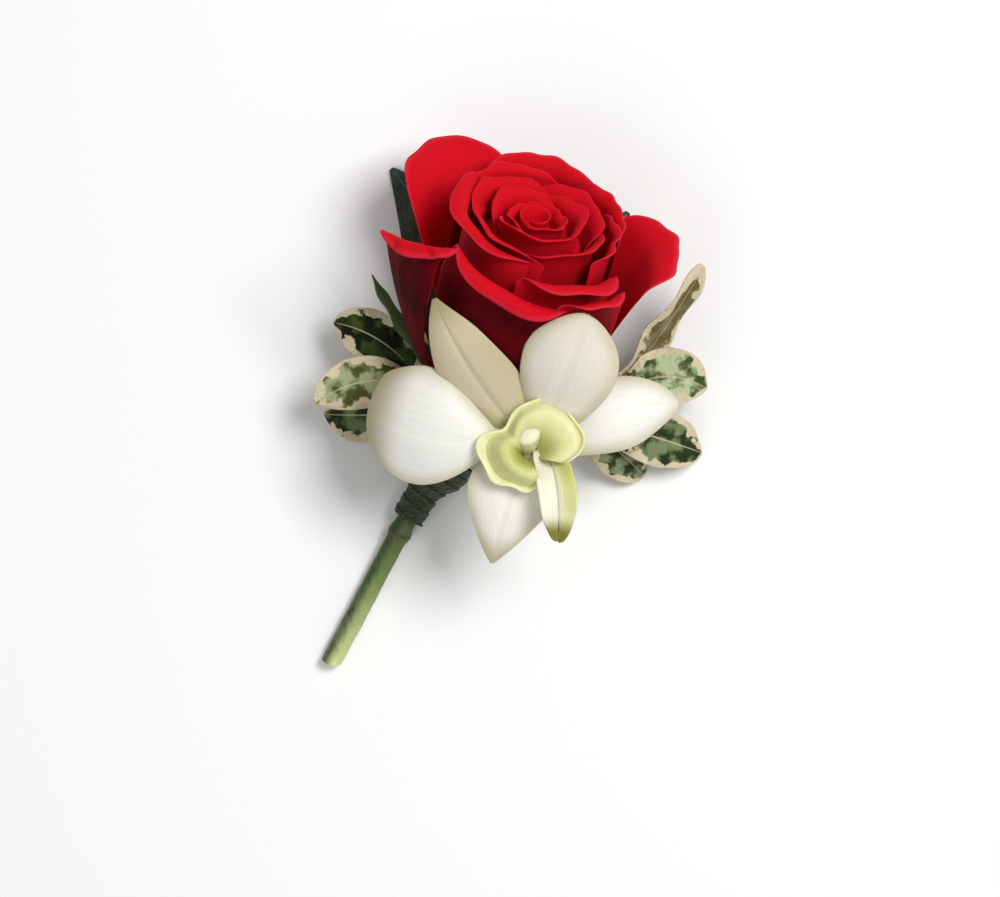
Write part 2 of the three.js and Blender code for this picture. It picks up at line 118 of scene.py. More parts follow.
def add_node(
    tree: NodeTree,
    kind: str,
    inputs: dict[str | int, Any] | None = None,
    ramp: Sequence[tuple[float, str]] = (),
    **settings: Any,
) -> Node:
    """Adds a node with its settings, values and links.

    Args:
        tree: The shader or geometry tree that gets the node.
        kind: Blender's name of the node type.
        inputs: Socket name or number to what feeds it: a value, a hex colour, an output socket, or a
            node, which stands for its first output in use.
        ramp: Places and hex colours of a colour ramp's stops.
        **settings: The node's own properties.

    Returns:
        The new node.
    """
    node = tree.nodes.new(kind)
    for name, value in settings.items():
        setattr(node, name, value)
    for name, value in (inputs or {}).items():
        socket = node.inputs[name]
        if isinstance(value, Node):
            value = next(output for output in value.outputs if output.enabled)
        if isinstance(value, bpy.types.NodeSocket):
            tree.links.new(value, socket)
        elif isinstance(value, str) and value.startswith("#"):
            socket.default_value = linear(value)
        else:
            socket.default_value = value
    for index, (place, code) in enumerate(ramp):
        stops = node.color_ramp.elements
        stop = stops[index] if index < 2 else stops.new(place)
        stop.position = place
        stop.color = linear(code)
    return node


# Lines and surfaces


@dataclass(frozen=True)
class Line:
    """A smooth line through given points, in millimetres."""

    points: tuple[Point, ...]

    STEPS = 60  # between two given points, before the line is divided evenly

    def sampled(self, count: int, past: float = 0.0) -> Array:
        """Places points along the line.

        Args:
            count: How many points, evenly spaced by length.
            past: Millimetres by which one more point lies straight before the line's start.

        Returns:
            The points, one a row.
        """
        knots = np.array(self.points, float)
        knots = np.vstack([2 * knots[0] - knots[1], knots, 2 * knots[-1] - knots[-2]])
        share = np.linspace(0, 1, self.STEPS, endpoint=False)[:, None]
        pieces = []
        for before, start, end, after in zip(knots, knots[1:], knots[2:], knots[3:]):
            pairs = ((before, start), (start, end), (end, after))
            d0, d1, d2 = (math.sqrt(np.linalg.norm(b - a)) for a, b in pairs)
            leave = ((start - before) / d0 - (end - before) / (d0 + d1) + (end - start) / d1) * d1
            reach = ((end - start) / d1 - (after - start) / (d1 + d2) + (after - end) / d2) * d1
            cubic = 2 * start - 2 * end + leave + reach
            square = -3 * start + 3 * end - 2 * leave - reach
            pieces.append(start + share * (leave + share * (square + share * cubic)))
        dense = np.vstack([*pieces, knots[-2]])
        length = np.concatenate([[0], np.cumsum(np.linalg.norm(np.diff(dense, axis=0), axis=1))])
        wanted = np.linspace(0, length[-1], count)
        even = np.stack([np.interp(wanted, length, dense[:, k]) for k in range(3)], axis=1)
        if past:
            outward = even[0] - even[1]
            even = np.vstack([even[0] + outward / np.linalg.norm(outward) * past, even])
        return even


@dataclass(frozen=True)
class Rib:
    """A petal's or leaf's shape about a bent midrib, in millimetres.

    The midrib leaves the root towards bend and arrives at the tip. The blade is half_width wide at
    the share peak of its length, fuller with fullness, stalk wide at its root as far as petiole, and
    blunt at its tip. Its front looks towards facing. Cup, in radians, bends its sides down, fold
    lifts them straight, wave ruffles them in so many waves, and a furrow follows the midrib.
    """

    half_width: float
    root: Point = NOWHERE
    bend: Point = NOWHERE
    tip: Point = NOWHERE
    peak: float = 0.5
    fullness: float = 1.5
    stalk: float = 0.7
    petiole: float = 0.0
    blunt: float = 0.3
    facing: Point = (0.0, 0.0, 1.0)
    cup: float = 0.3
    fold: float = 0.0
    wave: float = 0.0
    waves: float = 3.0
    furrow: float = 0.0

    RUFFLE_SHIFT = 1.9  # radians by which one side's ruffles lag behind the other's
    FURROW_WIDTH = 0.1
    FURROW_FADES = (0.2, 0.3)  # shares of the length over which it begins and ends

    def half_width_at(self, v: Array) -> Array:
        """Finds how wide the blade is.

        Args:
            v: Shares of its length.

        Returns:
            Its half width at each of them.
        """
        t = np.clip((v - self.petiole) / (1 - self.petiole), 0, 1)
        bulge = np.sin(np.pi * t ** (math.log(0.5) / math.log(self.peak)))
        neck = self.stalk + (self.blunt - self.stalk) * v
        return neck + (self.half_width - neck) * np.maximum(0, bulge) ** (1 / self.fullness)

    def surface(self, u: Array, v: Array) -> Array:
        """The blade's middle surface.

        Args:
            u: Shares across, from -1 to 1.
            v: Shares along, from 0 at the root to 1 at the tip.

        Returns:
            Layout points, one a row.
        """
        root, bend, tip = (np.array(p, float) for p in (self.root, self.bend, self.tip))
        w = np.clip(v, 0, 1)[:, None]
        tangent = (1 - w) * (bend - root) + w * (tip - bend)
        tangent /= np.linalg.norm(tangent, axis=1, keepdims=True)
        side = np.cross(tangent, np.array(self.facing, float))
        side /= np.linalg.norm(side, axis=1, keepdims=True)
        front = np.cross(side, tangent)
        share = v[:, None]
        middle = (1 - share) ** 2 * root + 2 * share * (1 - share) * bend + share**2 * tip
        width = self.half_width_at(v)
        shift = np.where(u > 0, 0.0, self.RUFFLE_SHIFT)
        ruffle = self.wave * np.sin(2 * np.pi * self.waves * v + shift) * u * u
        bent = np.sin(self.cup * u) / self.cup
        sunk = (np.cos(self.cup * u) - 1) / self.cup
        begins, ends = self.FURROW_FADES
        depth = self.furrow * smooth(v / begins) * smooth((1 - v) / ends)
        groove = depth * hump(u, 0, self.FURROW_WIDTH)
        lift = width * (sunk + self.fold * np.abs(u)) + ruffle - groove
        return middle + side * (width * bent)[:, None] + front * lift[:, None]


@dataclass(frozen=True)
class Blade:
    """A thin closed petal or leaf on a middle surface, in cells across and along.

    Tone and stain are values that its material reads. Edge is the margin's share of the thickness.
    """

    surface: Surface
    thickness: float
    across: int
    along: int
    tone: float = 0.0
    stain: float = 0.0
    edge: float = 0.4

    ROW_EASE = 0.3  # how much closer together the cells are near the tip, and near the sides
    COLUMN_EASE = 0.25
    SIDE_TAPER = 6  # powers of the shares across and along by which the blade thins
    END_TAPER = 12

    def grid(self) -> tuple[Array, Array]:
        """Places the vertices of one face, row by row, closer together near the sides and the tip.

        Returns:
            Their shares across and along.
        """
        share = np.linspace(0, 1, self.along + 1)
        rows = self.ROW_EASE * np.sin(np.pi / 2 * share) + (1 - self.ROW_EASE) * share
        columns = np.linspace(-1, 1, self.across + 1)
        columns = (1 - self.COLUMN_EASE) * columns + self.COLUMN_EASE * np.sin(np.pi / 2 * columns)
        v, u = np.meshgrid(rows, columns, indexing="ij")
        return u.ravel(), v.ravel()

    def rim(self) -> Array:
        """Walks round the grid's edge.

        Returns:
            Its vertices' numbers, in an order that makes faces from it point outwards.
        """
        columns = self.across + 1
        bottom = np.arange(self.across)
        right = self.across + columns * np.arange(self.along)
        top = columns * self.along + np.arange(self.across, 0, -1)
        left = columns * np.arange(self.along, 0, -1)
        return np.concatenate([bottom, right, top, left])

    def margin(self, points: Array) -> Array:
        """Measures how far each point lies from the blade's side edges.

        Args:
            points: The grid's places on the surface.

        Returns:
            Millimetres along the surface to the nearer edge.
        """
        rows = points.reshape(self.along + 1, self.across + 1, 3)
        steps = np.linalg.norm(np.diff(rows, axis=1), axis=2)
        left = np.hstack([np.zeros((self.along + 1, 1)), np.cumsum(steps, axis=1)])
        return np.minimum(left, left[:, -1:] - left).ravel()

    def taper(self, u: Array, v: Array) -> Array:
        """Thins the blade towards its margin.

        Args:
            u: Shares across.
            v: Shares along.

        Returns:
            Shares of the thickness.
        """
        inside = (1 - np.abs(u) ** self.SIDE_TAPER) * (1 - v**self.END_TAPER)
        return self.edge + (1 - self.edge) * inside


FIELDS = ("across", "along", "margin", "back", "tone", "stain")


class Draft:
    """Gathers closed shapes in layout millimetres into one mesh.

    Every vertex carries what the materials read: across from -1 to 1, along from 0 to 1, margin in
    millimetres from the blade's side edge, back (1 on a blade's second face), tone and stain.
    """

    def __init__(self) -> None:
        """Starts with nothing."""
        self.vertices: list[Array] = []
        self.faces: list[tuple[int, ...]] = []
        self.fields: dict[str, list[Array]] = {name: [] for name in FIELDS}
        self.count = 0

    def add(self, vertices: Array, faces: Sequence[Sequence[int]], **fields: Array | float) -> None:
        """Adds one shape.

        Args:
            vertices: Its points, one a row.
            faces: Its faces, as numbers of its own points.
            **fields: Values by the names in FIELDS, for each point or for all, 0 where none is given.
        """
        self.vertices.append(vertices)
        self.faces.extend(tuple(int(k) + self.count for k in face) for face in faces)
        self.count += len(vertices)
        for name in FIELDS:
            value = np.asarray(fields.get(name, 0.0), float)
            self.fields[name].append(np.broadcast_to(value, len(vertices)))

    def add_blade(self, blade: Blade) -> None:
        """Adds a thin closed blade, thinner towards its margin: two faces and a rim.

        Args:
            blade: The blade.
        """
        step = 1e-3  # the share by which the slopes are measured
        u, v = blade.grid()
        middle = blade.surface(u, v)
        along_u = blade.surface(u + step, v) - blade.surface(u - step, v)
        along_v = blade.surface(u, v + step) - blade.surface(u, v - step)
        normal = np.cross(along_u, along_v)
        normal /= np.linalg.norm(normal, axis=1, keepdims=True)
        offset = normal * (blade.thickness / 2 * blade.taper(u, v))[:, None]
        columns = blade.across + 1
        count = len(u)
        corner = (np.arange(blade.along)[:, None] * columns + np.arange(blade.across)[None, :]).ravel()
        front = np.stack([corner, corner + 1, corner + columns + 1, corner + columns], axis=1)
        rim = blade.rim()
        sides = np.stack([rim + count, np.roll(rim, -1) + count, np.roll(rim, -1), rim], axis=1)
        self.add(
            np.vstack([middle + offset, middle - offset]),
            np.vstack([front, front[:, ::-1] + count, sides]),
            across=np.tile(u, 2),
            along=np.tile(v, 2),
            margin=np.tile(blade.margin(middle), 2),
            back=np.repeat([0.0, 1.0], count),
            tone=blade.tone,
            stain=blade.stain,
        )

    def add_bar(self, centres: Array, radii: Array, sides: int, **fields: float) -> None:
        """Adds a closed round bar.

        Args:
            centres: Its middle line, one point a row.
            radii: Its radius at each of them.
            sides: How many sides it has.
            **fields: Values that every point carries.
        """
        tangents = np.gradient(centres, axis=0)
        tangents /= np.linalg.norm(tangents, axis=1, keepdims=True)
        side = np.array([1.0, 0.0, 0.0])
        angle = np.linspace(0, 2 * np.pi, sides, endpoint=False)[:, None]
        rings = []
        for centre, tangent, radius in zip(centres, tangents, radii):
            side = side - tangent * side.dot(tangent)
            side /= np.linalg.norm(side)
            round_it = side * np.cos(angle) + np.cross(tangent, side) * np.sin(angle)
            rings.append(centre + radius * round_it)
        start = np.arange((len(centres) - 1) * sides)
        after = start // sides * sides + (start + 1) % sides
        walls = np.stack([start, after, after + sides, start + sides], axis=1)
        last = (len(centres) - 1) * sides
        caps = [tuple(range(sides))[::-1], tuple(range(last, last + sides))]
        along = np.repeat(np.linspace(0, 1, len(centres)), sides)
        self.add(np.vstack(rings), [*walls, *caps], along=along, **fields)

    def add_ball(self, centre: Point, radius: float, stretch: float = 1.0) -> None:
        """Adds a round body.

        Args:
            centre: Its middle.
            radius: Its radius.
            stretch: How many times as tall as wide it is.
        """
        rings, sides, pole = 20, 28, 0.01
        angle = np.linspace(0, np.pi, rings)
        height = -np.cos(angle) * radius * stretch
        centres = np.array(centre) + np.outer(height, [0.0, 0.0, 1.0])
        self.add_bar(centres, np.maximum(radius * np.sin(angle), pole), sides)

    def mesh(self, name: str) -> Mesh:
        """Makes the mesh, smooth shaded and in the row's metres.

        Args:
            name: The mesh's name.

        Returns:
            The mesh, with a point attribute for every field.
        """
        mesh = bpy.data.meshes.new(name)
        mesh.from_pydata(row_metres(np.vstack(self.vertices)).tolist(), [], self.faces)
        for field_name, values in self.fields.items():
            attribute = mesh.attributes.new(field_name, "FLOAT", "POINT")
            attribute.data.foreach_set("value", np.concatenate(values).astype(np.float32))
        mesh.shade_smooth()
        return mesh

    def piece(self, name: str, material: Material) -> Piece:
        """Makes the mesh and puts it in the scene.

        Args:
            name: The piece's name.
            material: What it is dressed in.

        Returns:
            The piece.
        """
        mesh = self.mesh(name)
        mesh.materials.append(material)
        return placed(name, mesh)


def placed(name: str, mesh: Mesh) -> Piece:
    """Puts a mesh in the scene as an object at the origin.

    Args:
        name: The object's name.
        mesh: Its mesh, which holds its place.

    Returns:
        The object.
    """
    piece = bpy.data.objects.new(name, mesh)
    bpy.context.scene.collection.objects.link(piece)
    return piece


def stands_for(pieces: Sequence[Piece], node: str) -> list[Piece]:
    """Ties pieces to the frame's root and hides the solid that they replace.

    Args:
        pieces: The pieces.
        node: The solid's name.

    Returns:
        The pieces.
    """
    for piece in pieces:
        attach(piece, "root")
        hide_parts(node)
    return list(pieces)


# Finishes


def blotches(
    tree: NodeTree,
    size_mm: float,
    low: float = 0.35,
    high: float = 0.65,
    stretch: Point = (1.0, 1.0, 1.0),
) -> Node:
    """Soft irregular patches on the object's own coordinates.

    Args:
        tree: The material's tree.
        size_mm: How large a patch is.
        low: The noise below which a place lies outside every patch.
        high: The noise above which it lies fully inside one.
        stretch: How many times finer the patches are along each axis.

    Returns:
        A node that gives 0 outside a patch and 1 inside.
    """
    place = add_node(tree, "ShaderNodeTexCoord").outputs["Object"]
    turned = add_node(tree, "ShaderNodeMapping", {"Vector": place, "Scale": stretch})
    scale = 1 / (size_mm * MM)
    noise = add_node(tree, "ShaderNodeTexNoise", {"Vector": turned, "Scale": scale, "Detail": 4.0})
    limits = {"Value": noise, "From Min": low, "From Max": high}
    return add_node(tree, "ShaderNodeMapRange", limits, **EASED)


def veins(tree: NodeTree, count: float, waver: float) -> Node:
    """Fine ridges that run along a blade.

    Args:
        tree: The material's tree.
        count: How many lie side by side on each half of the blade.
        waver: How far they wander, in radians of their spacing.

    Returns:
        A node that gives 0 between ridges and 1 on them.
    """
    across = add_node(tree, "ShaderNodeAttribute", attribute_name="across").outputs["Fac"]
    wander = {0: blotches(tree, VEIN_DRIFT_MM), 1: waver}
    drift = add_node(tree, "ShaderNodeMath", wander, operation="MULTIPLY")
    turns = {0: across, 1: count * 2 * math.pi, 2: drift}
    phase = add_node(tree, "ShaderNodeMath", turns, operation="MULTIPLY_ADD")
    wave = add_node(tree, "ShaderNodeMath", {0: phase}, operation="SINE")
    return add_node(tree, "ShaderNodeMapRange", {"Value": wave, "From Min": -1.0}, **EASED)


def side_veins(tree: NodeTree, pairs: float, slant: float) -> Node:
    """Veins that leave a leaf's midrib at a slant.

    Args:
        tree: The material's tree.
        pairs: How many pairs a leaf has.
        slant: How many pairs further up a vein ends than it starts.

    Returns:
        A node that gives -1 between veins and 1 on them.
    """
    across = add_node(tree, "ShaderNodeAttribute", attribute_name="across").outputs["Fac"]
    along = add_node(tree, "ShaderNodeAttribute", attribute_name="along").outputs["Fac"]
    half = add_node(tree, "ShaderNodeMath", {0: across}, operation="ABSOLUTE")
    drop = add_node(tree, "ShaderNodeMath", {0: half, 1: -slant}, operation="MULTIPLY")
    climb = add_node(tree, "ShaderNodeMath", {0: along, 1: pairs, 2: drop}, operation="MULTIPLY_ADD")
    phase = add_node(tree, "ShaderNodeMath", {0: climb, 1: 2 * math.pi}, operation="MULTIPLY")
    return add_node(tree, "ShaderNodeMath", {0: phase}, operation="SINE")


def midrib(tree: NodeTree, width: float, strength: float) -> Node:
    """The line along a leaf's midrib.

    Args:
        tree: The material's tree.
        width: The share of the half blade at which the line has faded out.
        strength: How much of it shows in its middle.

    Returns:
        A node that gives 0 beside the line and its strength on it.
    """
    across = add_node(tree, "ShaderNodeAttribute", attribute_name="across").outputs["Fac"]
    half = add_node(tree, "ShaderNodeMath", {0: across}, operation="ABSOLUTE")
    line = {"Value": half, "From Min": width, "From Max": MIDRIB_CORE, "To Max": strength}
    return add_node(tree, "ShaderNodeMapRange", line, **EASED)


@dataclass(frozen=True)
class Pattern:
    """What a surface shows: its ground, the colours laid over it one by one, and its height.

    A layer is the share by which it covers what lies below, and its colour.
    """

    ground: Node | str
    layers: tuple[tuple[Any, Any], ...]
    height: Node


@dataclass(frozen=True)
class Finish:
    """A living or waxed surface: its gloss, how far light goes into it and how deep its relief is.

    Matt_hollow and glossy_crest are what its relief adds to the roughness and takes from it.
    """

    name: str
    roughness: float = 0.5
    ior: float = 1.45
    scatter_mm: float = 0.5
    scatter_colour: Point = (1.0, 1.0, 1.0)
    scatter: float = 0.0
    sheen: float = 0.0
    sheen_tint: str = "#FFFFFF"
    coat: float = 0.0
    specular: float = 0.5
    relief_mm: float = 0.15
    relief: float = 0.3
    matt_hollow: float = 0.08
    glossy_crest: float = 0.06

    def material(self) -> Material:
        """Makes the material.

        Returns:
            The material, with its colour, relief and gloss from nodes.
        """
        material = bpy.data.materials.new(self.name)
        material.use_nodes = True
        tree = material.node_tree
        tree.nodes.clear()
        pattern = self.pattern(tree)
        colour = pattern.ground
        for share, over in pattern.layers:
            layer = {"Factor": share, "A": colour, "B": over}
            colour = add_node(tree, "ShaderNodeMix", layer, **COLOURS)
        dull, bright = self.roughness + self.matt_hollow, self.roughness - self.glossy_crest
        gloss = {"Value": pattern.height, "To Min": dull, "To Max": bright}
        relief = {"Strength": self.relief, "Distance": self.relief_mm * MM, "Height": pattern.height}
        surface = {
            "Base Color": colour,
            "Roughness": add_node(tree, "ShaderNodeMapRange", gloss),
            "IOR": self.ior,
            "Subsurface Weight": self.scatter,
            "Subsurface Radius": self.scatter_colour,
            "Subsurface Scale": self.scatter_mm * MM,
            "Sheen Weight": self.sheen,
            "Sheen Tint": self.sheen_tint,
            "Coat Weight": self.coat,
            "Specular IOR Level": self.specular,
            "Normal": add_node(tree, "ShaderNodeBump", relief),
        }
        shader = add_node(tree, "ShaderNodeBsdfPrincipled", surface)
        add_node(tree, "ShaderNodeOutputMaterial", {"Surface": shader})
        return material

    def pattern(self, tree: NodeTree) -> Pattern:
        """Builds what the surface shows.

        Args:
            tree: The material's tree.

        Returns:
            Its colours and its height.
        """
        raise NotImplementedError


@dataclass(frozen=True)
class RosePetal(Finish):
    """A fresh rose petal: crimson, with painted shade darkening its foot, a painted highlight on the
    rim, and a maroon outer face that painted shade darkens low down.

    Places are shares of its height. The other shares say how strongly a colour covers the rest.
    """

    # The foot's dark red is painted shade deep in the bloom
    foot: str = "#5E0209"
    middle: str = "#B80A1A"
    upper: str = "#CF0F20"
    inner_places: Places = (0.12, 0.38, 0.7)
    # The outer face is maroon; its near-black foot is painted shade, and the same colour paints shade
    # over the outer face of petals that lie in shadow
    painted_shade_outer_foot: str = "#260104"
    outer_middle: str = "#5A030D"
    outer_upper: str = "#B20C1E"
    outer_places: Places = (0.3, 0.72, 0.93)
    # A painted highlight on the rim, partly the thin edge's own lighter red
    rim: str = "#D42A3E"
    rim_highlight_places: Pair = (0.965, 0.995)
    shade_share: float = 0.75
    blotch_share: float = 0.13
    blotch_mm: float = 7.0
    vein_share: float = 0.08
    vein_count: float = 13.0
    vein_waver: float = 5.0
    vein_height: float = 0.4
    velvet_mm: float = 0.4

    def pattern(self, tree: NodeTree) -> Pattern:
        """Builds colour by height up the petal, with painted shade in the foot and on shaded outer
        faces, a painted rim highlight, blotches, veins and a velvety relief.

        Args:
            tree: The material's tree.

        Returns:
            Its colours and its height.
        """
        along, back, tone, stain = (
            add_node(tree, "ShaderNodeAttribute", attribute_name=name).outputs["Fac"]
            for name in ("along", "back", "tone", "stain")
        )
        # The dark starts of both ramps are painted shade low in the bloom
        inside, outside = (
            add_node(tree, "ShaderNodeValToRGB", {"Fac": along}, ramp=tuple(zip(places, colours)))
            for places, colours in (
                (self.inner_places, (self.foot, self.middle, self.upper)),
                (self.outer_places, (self.painted_shade_outer_foot, self.outer_middle, self.outer_upper)),
            )
        )
        low, high = self.rim_highlight_places
        top = add_node(tree, "ShaderNodeMapRange", {"Value": along, "From Min": low, "From Max": high})
        ridge = veins(tree, self.vein_count, self.vein_waver)
        # lit paints the highlight on the rim, and shaded paints shade over a petal's outer face
        lit, shaded, patch, line = (
            add_node(tree, "ShaderNodeMath", {0: where, 1: share}, operation="MULTIPLY")
            for where, share in (
                (top, tone),
                (stain, self.shade_share),
                (blotches(tree, self.blotch_mm), self.blotch_share),
                (ridge, self.vein_share),
            )
        )
        # A petal's velvet cells are about a twentieth of this size, too fine to show
        velvet = blotches(tree, self.velvet_mm, *GRAIN)
        relief = {0: ridge, 1: self.vein_height, 2: velvet}
        height = add_node(tree, "ShaderNodeMath", relief, operation="MULTIPLY_ADD")
        layers = (
            (shaded, self.painted_shade_outer_foot),
            (back, inside),
            (lit, self.rim),
            (patch, self.middle),
            (line, self.foot),
        )
        return Pattern(outside, layers, height)


@dataclass(frozen=True)
class OrchidPetal(Finish):
    """A waxy dendrobium petal: white in its middle, green where it starts, with beige painted shade
    towards its edge.

    A toned petal gets beige painted shade all over and a stained one painted shade at its tip. Places
    are shares of its length.
    """

    # The beige edge, the beige shade all over and the tip colour are painted shade; the shade colour
    # also draws the faint veins
    edge: str = "#D5CFB6"
    middle: str = "#EDECE5"
    edge_shade_mm: float = 3.5
    shade: str = "#BFAF8A"
    tip: str = "#9D936C"
    tip_shade_from: float = 0.72
    start: str = "#D3D79A"
    start_places: Pair = (0.3, 0.06)
    start_share: float = 0.7
    vein_share: float = 0.05
    vein_count: float = 7.0
    vein_waver: float = 3.0
    cell_mm: float = 0.5
    cell_height: float = 0.35

    def pattern(self, tree: NodeTree) -> Pattern:
        """Builds painted shade by distance from the edge, over the whole petal and at its tip, green by
        distance from the start, and faint veins.

        Args:
            tree: The material's tree.

        Returns:
            Its colours and its height.
        """
        margin, along, tone, stain = (
            add_node(tree, "ShaderNodeAttribute", attribute_name=name).outputs["Fac"]
            for name in ("margin", "along", "tone", "stain")
        )
        # inward fades the edge's painted shade, end marks where the tip's painted shade begins
        inward, end, green = (
            add_node(tree, "ShaderNodeMapRange", limits, **EASED)
            for limits in (
                {"Value": margin, "From Max": self.edge_shade_mm},
                {"Value": along, "From Min": self.tip_shade_from},
                {
                    "Value": along,
                    "From Min": self.start_places[0],
                    "From Max": self.start_places[1],
                    "To Max": self.start_share,
                },
            )
        )
        ridge = veins(tree, self.vein_count, self.vein_waver)
        tip = add_node(tree, "ShaderNodeMath", {0: end, 1: stain}, operation="MULTIPLY")
        line = add_node(tree, "ShaderNodeMath", {0: ridge, 1: self.vein_share}, operation="MULTIPLY")
        # The cells of the flesh are about a third of this size, too fine to show
        cells = blotches(tree, self.cell_mm, *GRAIN)
        relief = {0: cells, 1: self.cell_height, 2: ridge}
        height = add_node(tree, "ShaderNodeMath", relief, operation="MULTIPLY_ADD")
        layers = (
            (inward, self.middle),
            (tone, self.shade),
            (tip, self.tip),
            (green, self.start),
            (line, self.shade),
        )
        return Pattern(self.edge, layers, height)


@dataclass(frozen=True)
class OrchidLip(Finish):
    """The lip's waxy flesh: yellow-green, lighter towards its margin and deeper in the throat.

    A toned lobe is whitish on its left side, and a stained one olive at its tip.
    """

    throat: str = "#BBBD62"
    flesh: str = "#CBCF86"
    light: str = "#E8E8B8"
    places: Places = (0.12, 0.4, 0.9)
    pale: str = "#ECE9D8"
    pale_places: Pair = (-0.45, 0.0)
    olive: str = "#7D7A2E"
    olive_places: Pair = (0.74, 0.92)
    vein_share: float = 0.14
    vein_count: float = 5.0
    vein_waver: float = 3.0
    cell_mm: float = 0.6

    def pattern(self, tree: NodeTree) -> Pattern:
        """Builds colour by distance from the throat, with the two stains and veins.

        Args:
            tree: The material's tree.

        Returns:
            Its colours and its height.
        """
        along, across, tone, stain = (
            add_node(tree, "ShaderNodeAttribute", attribute_name=name).outputs["Fac"]
            for name in ("along", "across", "tone", "stain")
        )
        stops = tuple(zip(self.places, (self.throat, self.flesh, self.light)))
        flesh = add_node(tree, "ShaderNodeValToRGB", {"Fac": along}, ramp=stops)
        beside, end = (
            add_node(tree, "ShaderNodeMapRange", {"Value": at, "From Min": a, "From Max": b}, **EASED)
            for at, (a, b) in ((across, self.pale_places), (along, self.olive_places))
        )
        ridge = veins(tree, self.vein_count, self.vein_waver)
        whiter, tip, line = (
            add_node(tree, "ShaderNodeMath", {0: where, 1: share}, operation="MULTIPLY")
            for where, share in ((beside, tone), (end, stain), (ridge, self.vein_share))
        )
        # The flesh's cells are about a quarter of this size, too fine to show
        relief = {0: ridge, 1: blotches(tree, self.cell_mm)}
        layers = ((whiter, self.pale), (tip, self.olive), (line, self.throat))
        return Pattern(flesh, layers, add_node(tree, "ShaderNodeMath", relief, operation="ADD"))


@dataclass(frozen=True)
class VariegatedLeaf(Finish):
    """A leathery pittosporum leaf: mottled green inside an uneven cream margin, tan on its back.

    Tone makes the green greyer, and stain makes the leaf tan on both faces.
    """

    dark: str = "#131D08"
    green: str = "#3E5324"
    grey: str = "#B4C296"
    patch_mm: float = 3.2
    patch_limits: Pair = (0.42, 0.58)
    cream: str = "#D3C5A4"
    margin_mm: Pair = (0.55, 0.15)
    wander_mm: float = 1.9
    wander_size_mm: float = 2.6
    wander_limits: Pair = (0.3, 0.7)
    under: str = "#7A6438"
    under_share: float = 0.7
    most_tan: float = 0.9
    rib_width: float = 0.06
    rib_share: float = 0.6
    vein_pairs: float = 9.0
    vein_slant: float = 1.8
    vein_height: float = 0.3
    cell_mm: float = 0.8

    def pattern(self, tree: NodeTree) -> Pattern:
        """Builds green patches, a margin of uneven width, a light midrib and side veins.

        Args:
            tree: The material's tree.

        Returns:
            Its colours and its height.
        """
        margin, back, tone, stain = (
            add_node(tree, "ShaderNodeAttribute", attribute_name=name).outputs["Fac"]
            for name in ("margin", "back", "tone", "stain")
        )
        patch = blotches(tree, self.patch_mm, *self.patch_limits)
        deep, light = (
            add_node(tree, "ShaderNodeMix", {"Factor": patch, "A": hollow, "B": patched}, **COLOURS)
            for hollow, patched in ((self.dark, self.green), (self.green, self.grey))
        )
        uneven = {0: blotches(tree, self.wander_size_mm, *self.wander_limits), 1: self.wander_mm}
        wander = add_node(tree, "ShaderNodeMath", uneven, operation="MULTIPLY")
        inward = add_node(tree, "ShaderNodeMath", {0: margin, 1: wander}, operation="SUBTRACT")
        inner, outer = self.margin_mm
        edge = {"Value": inward, "From Min": inner, "From Max": outer}
        dry = {0: back, 1: self.under_share, 2: stain}
        drier = {0: add_node(tree, "ShaderNodeMath", dry, operation="MULTIPLY_ADD"), 1: self.most_tan}
        layers = (
            (tone, light),
            (add_node(tree, "ShaderNodeMath", drier, operation="MINIMUM"), self.under),
            (add_node(tree, "ShaderNodeMapRange", edge, **EASED), self.cream),
            (midrib(tree, self.rib_width, self.rib_share), self.cream),
        )
        # Nine pairs of veins on a leaf of about 20 mm, and the small fields between the finest
        ridge = side_veins(tree, self.vein_pairs, self.vein_slant)
        relief = {0: ridge, 1: self.vein_height, 2: blotches(tree, self.cell_mm)}
        return Pattern(deep, layers, add_node(tree, "ShaderNodeMath", relief, operation="MULTIPLY_ADD"))


@dataclass(frozen=True)
class DarkLeaf(Finish):
    """A glossy dark leaf with a lighter midrib and slanting side veins."""

    deep: str = "#1A2616"
    green: str = "#32452C"
    patch_mm: float = 4.0
    patch_limits: Pair = (0.3, 0.7)
    rib: str = "#5E6E4C"
    rib_width: float = 0.07
    rib_share: float = 0.8
    vein_pairs: float = 16.0
    vein_slant: float = 2.4
    vein_height: float = 0.3
    cell_mm: float = 0.9

    def pattern(self, tree: NodeTree) -> Pattern:
        """Builds two greens, the midrib and the veins.

        Args:
            tree: The material's tree.

        Returns:
            Its colours and its height.
        """
        layers = (
            (blotches(tree, self.patch_mm, *self.patch_limits), self.green),
            (midrib(tree, self.rib_width, self.rib_share), self.rib),
        )
        # Sixteen pairs of veins on a leaf of about 60 mm, and the small fields between the finest
        ridge = side_veins(tree, self.vein_pairs, self.vein_slant)
        relief = {0: ridge, 1: self.vein_height, 2: blotches(tree, self.cell_mm)}
        height = add_node(tree, "ShaderNodeMath", relief, operation="MULTIPLY_ADD")
        return Pattern(self.deep, layers, height)


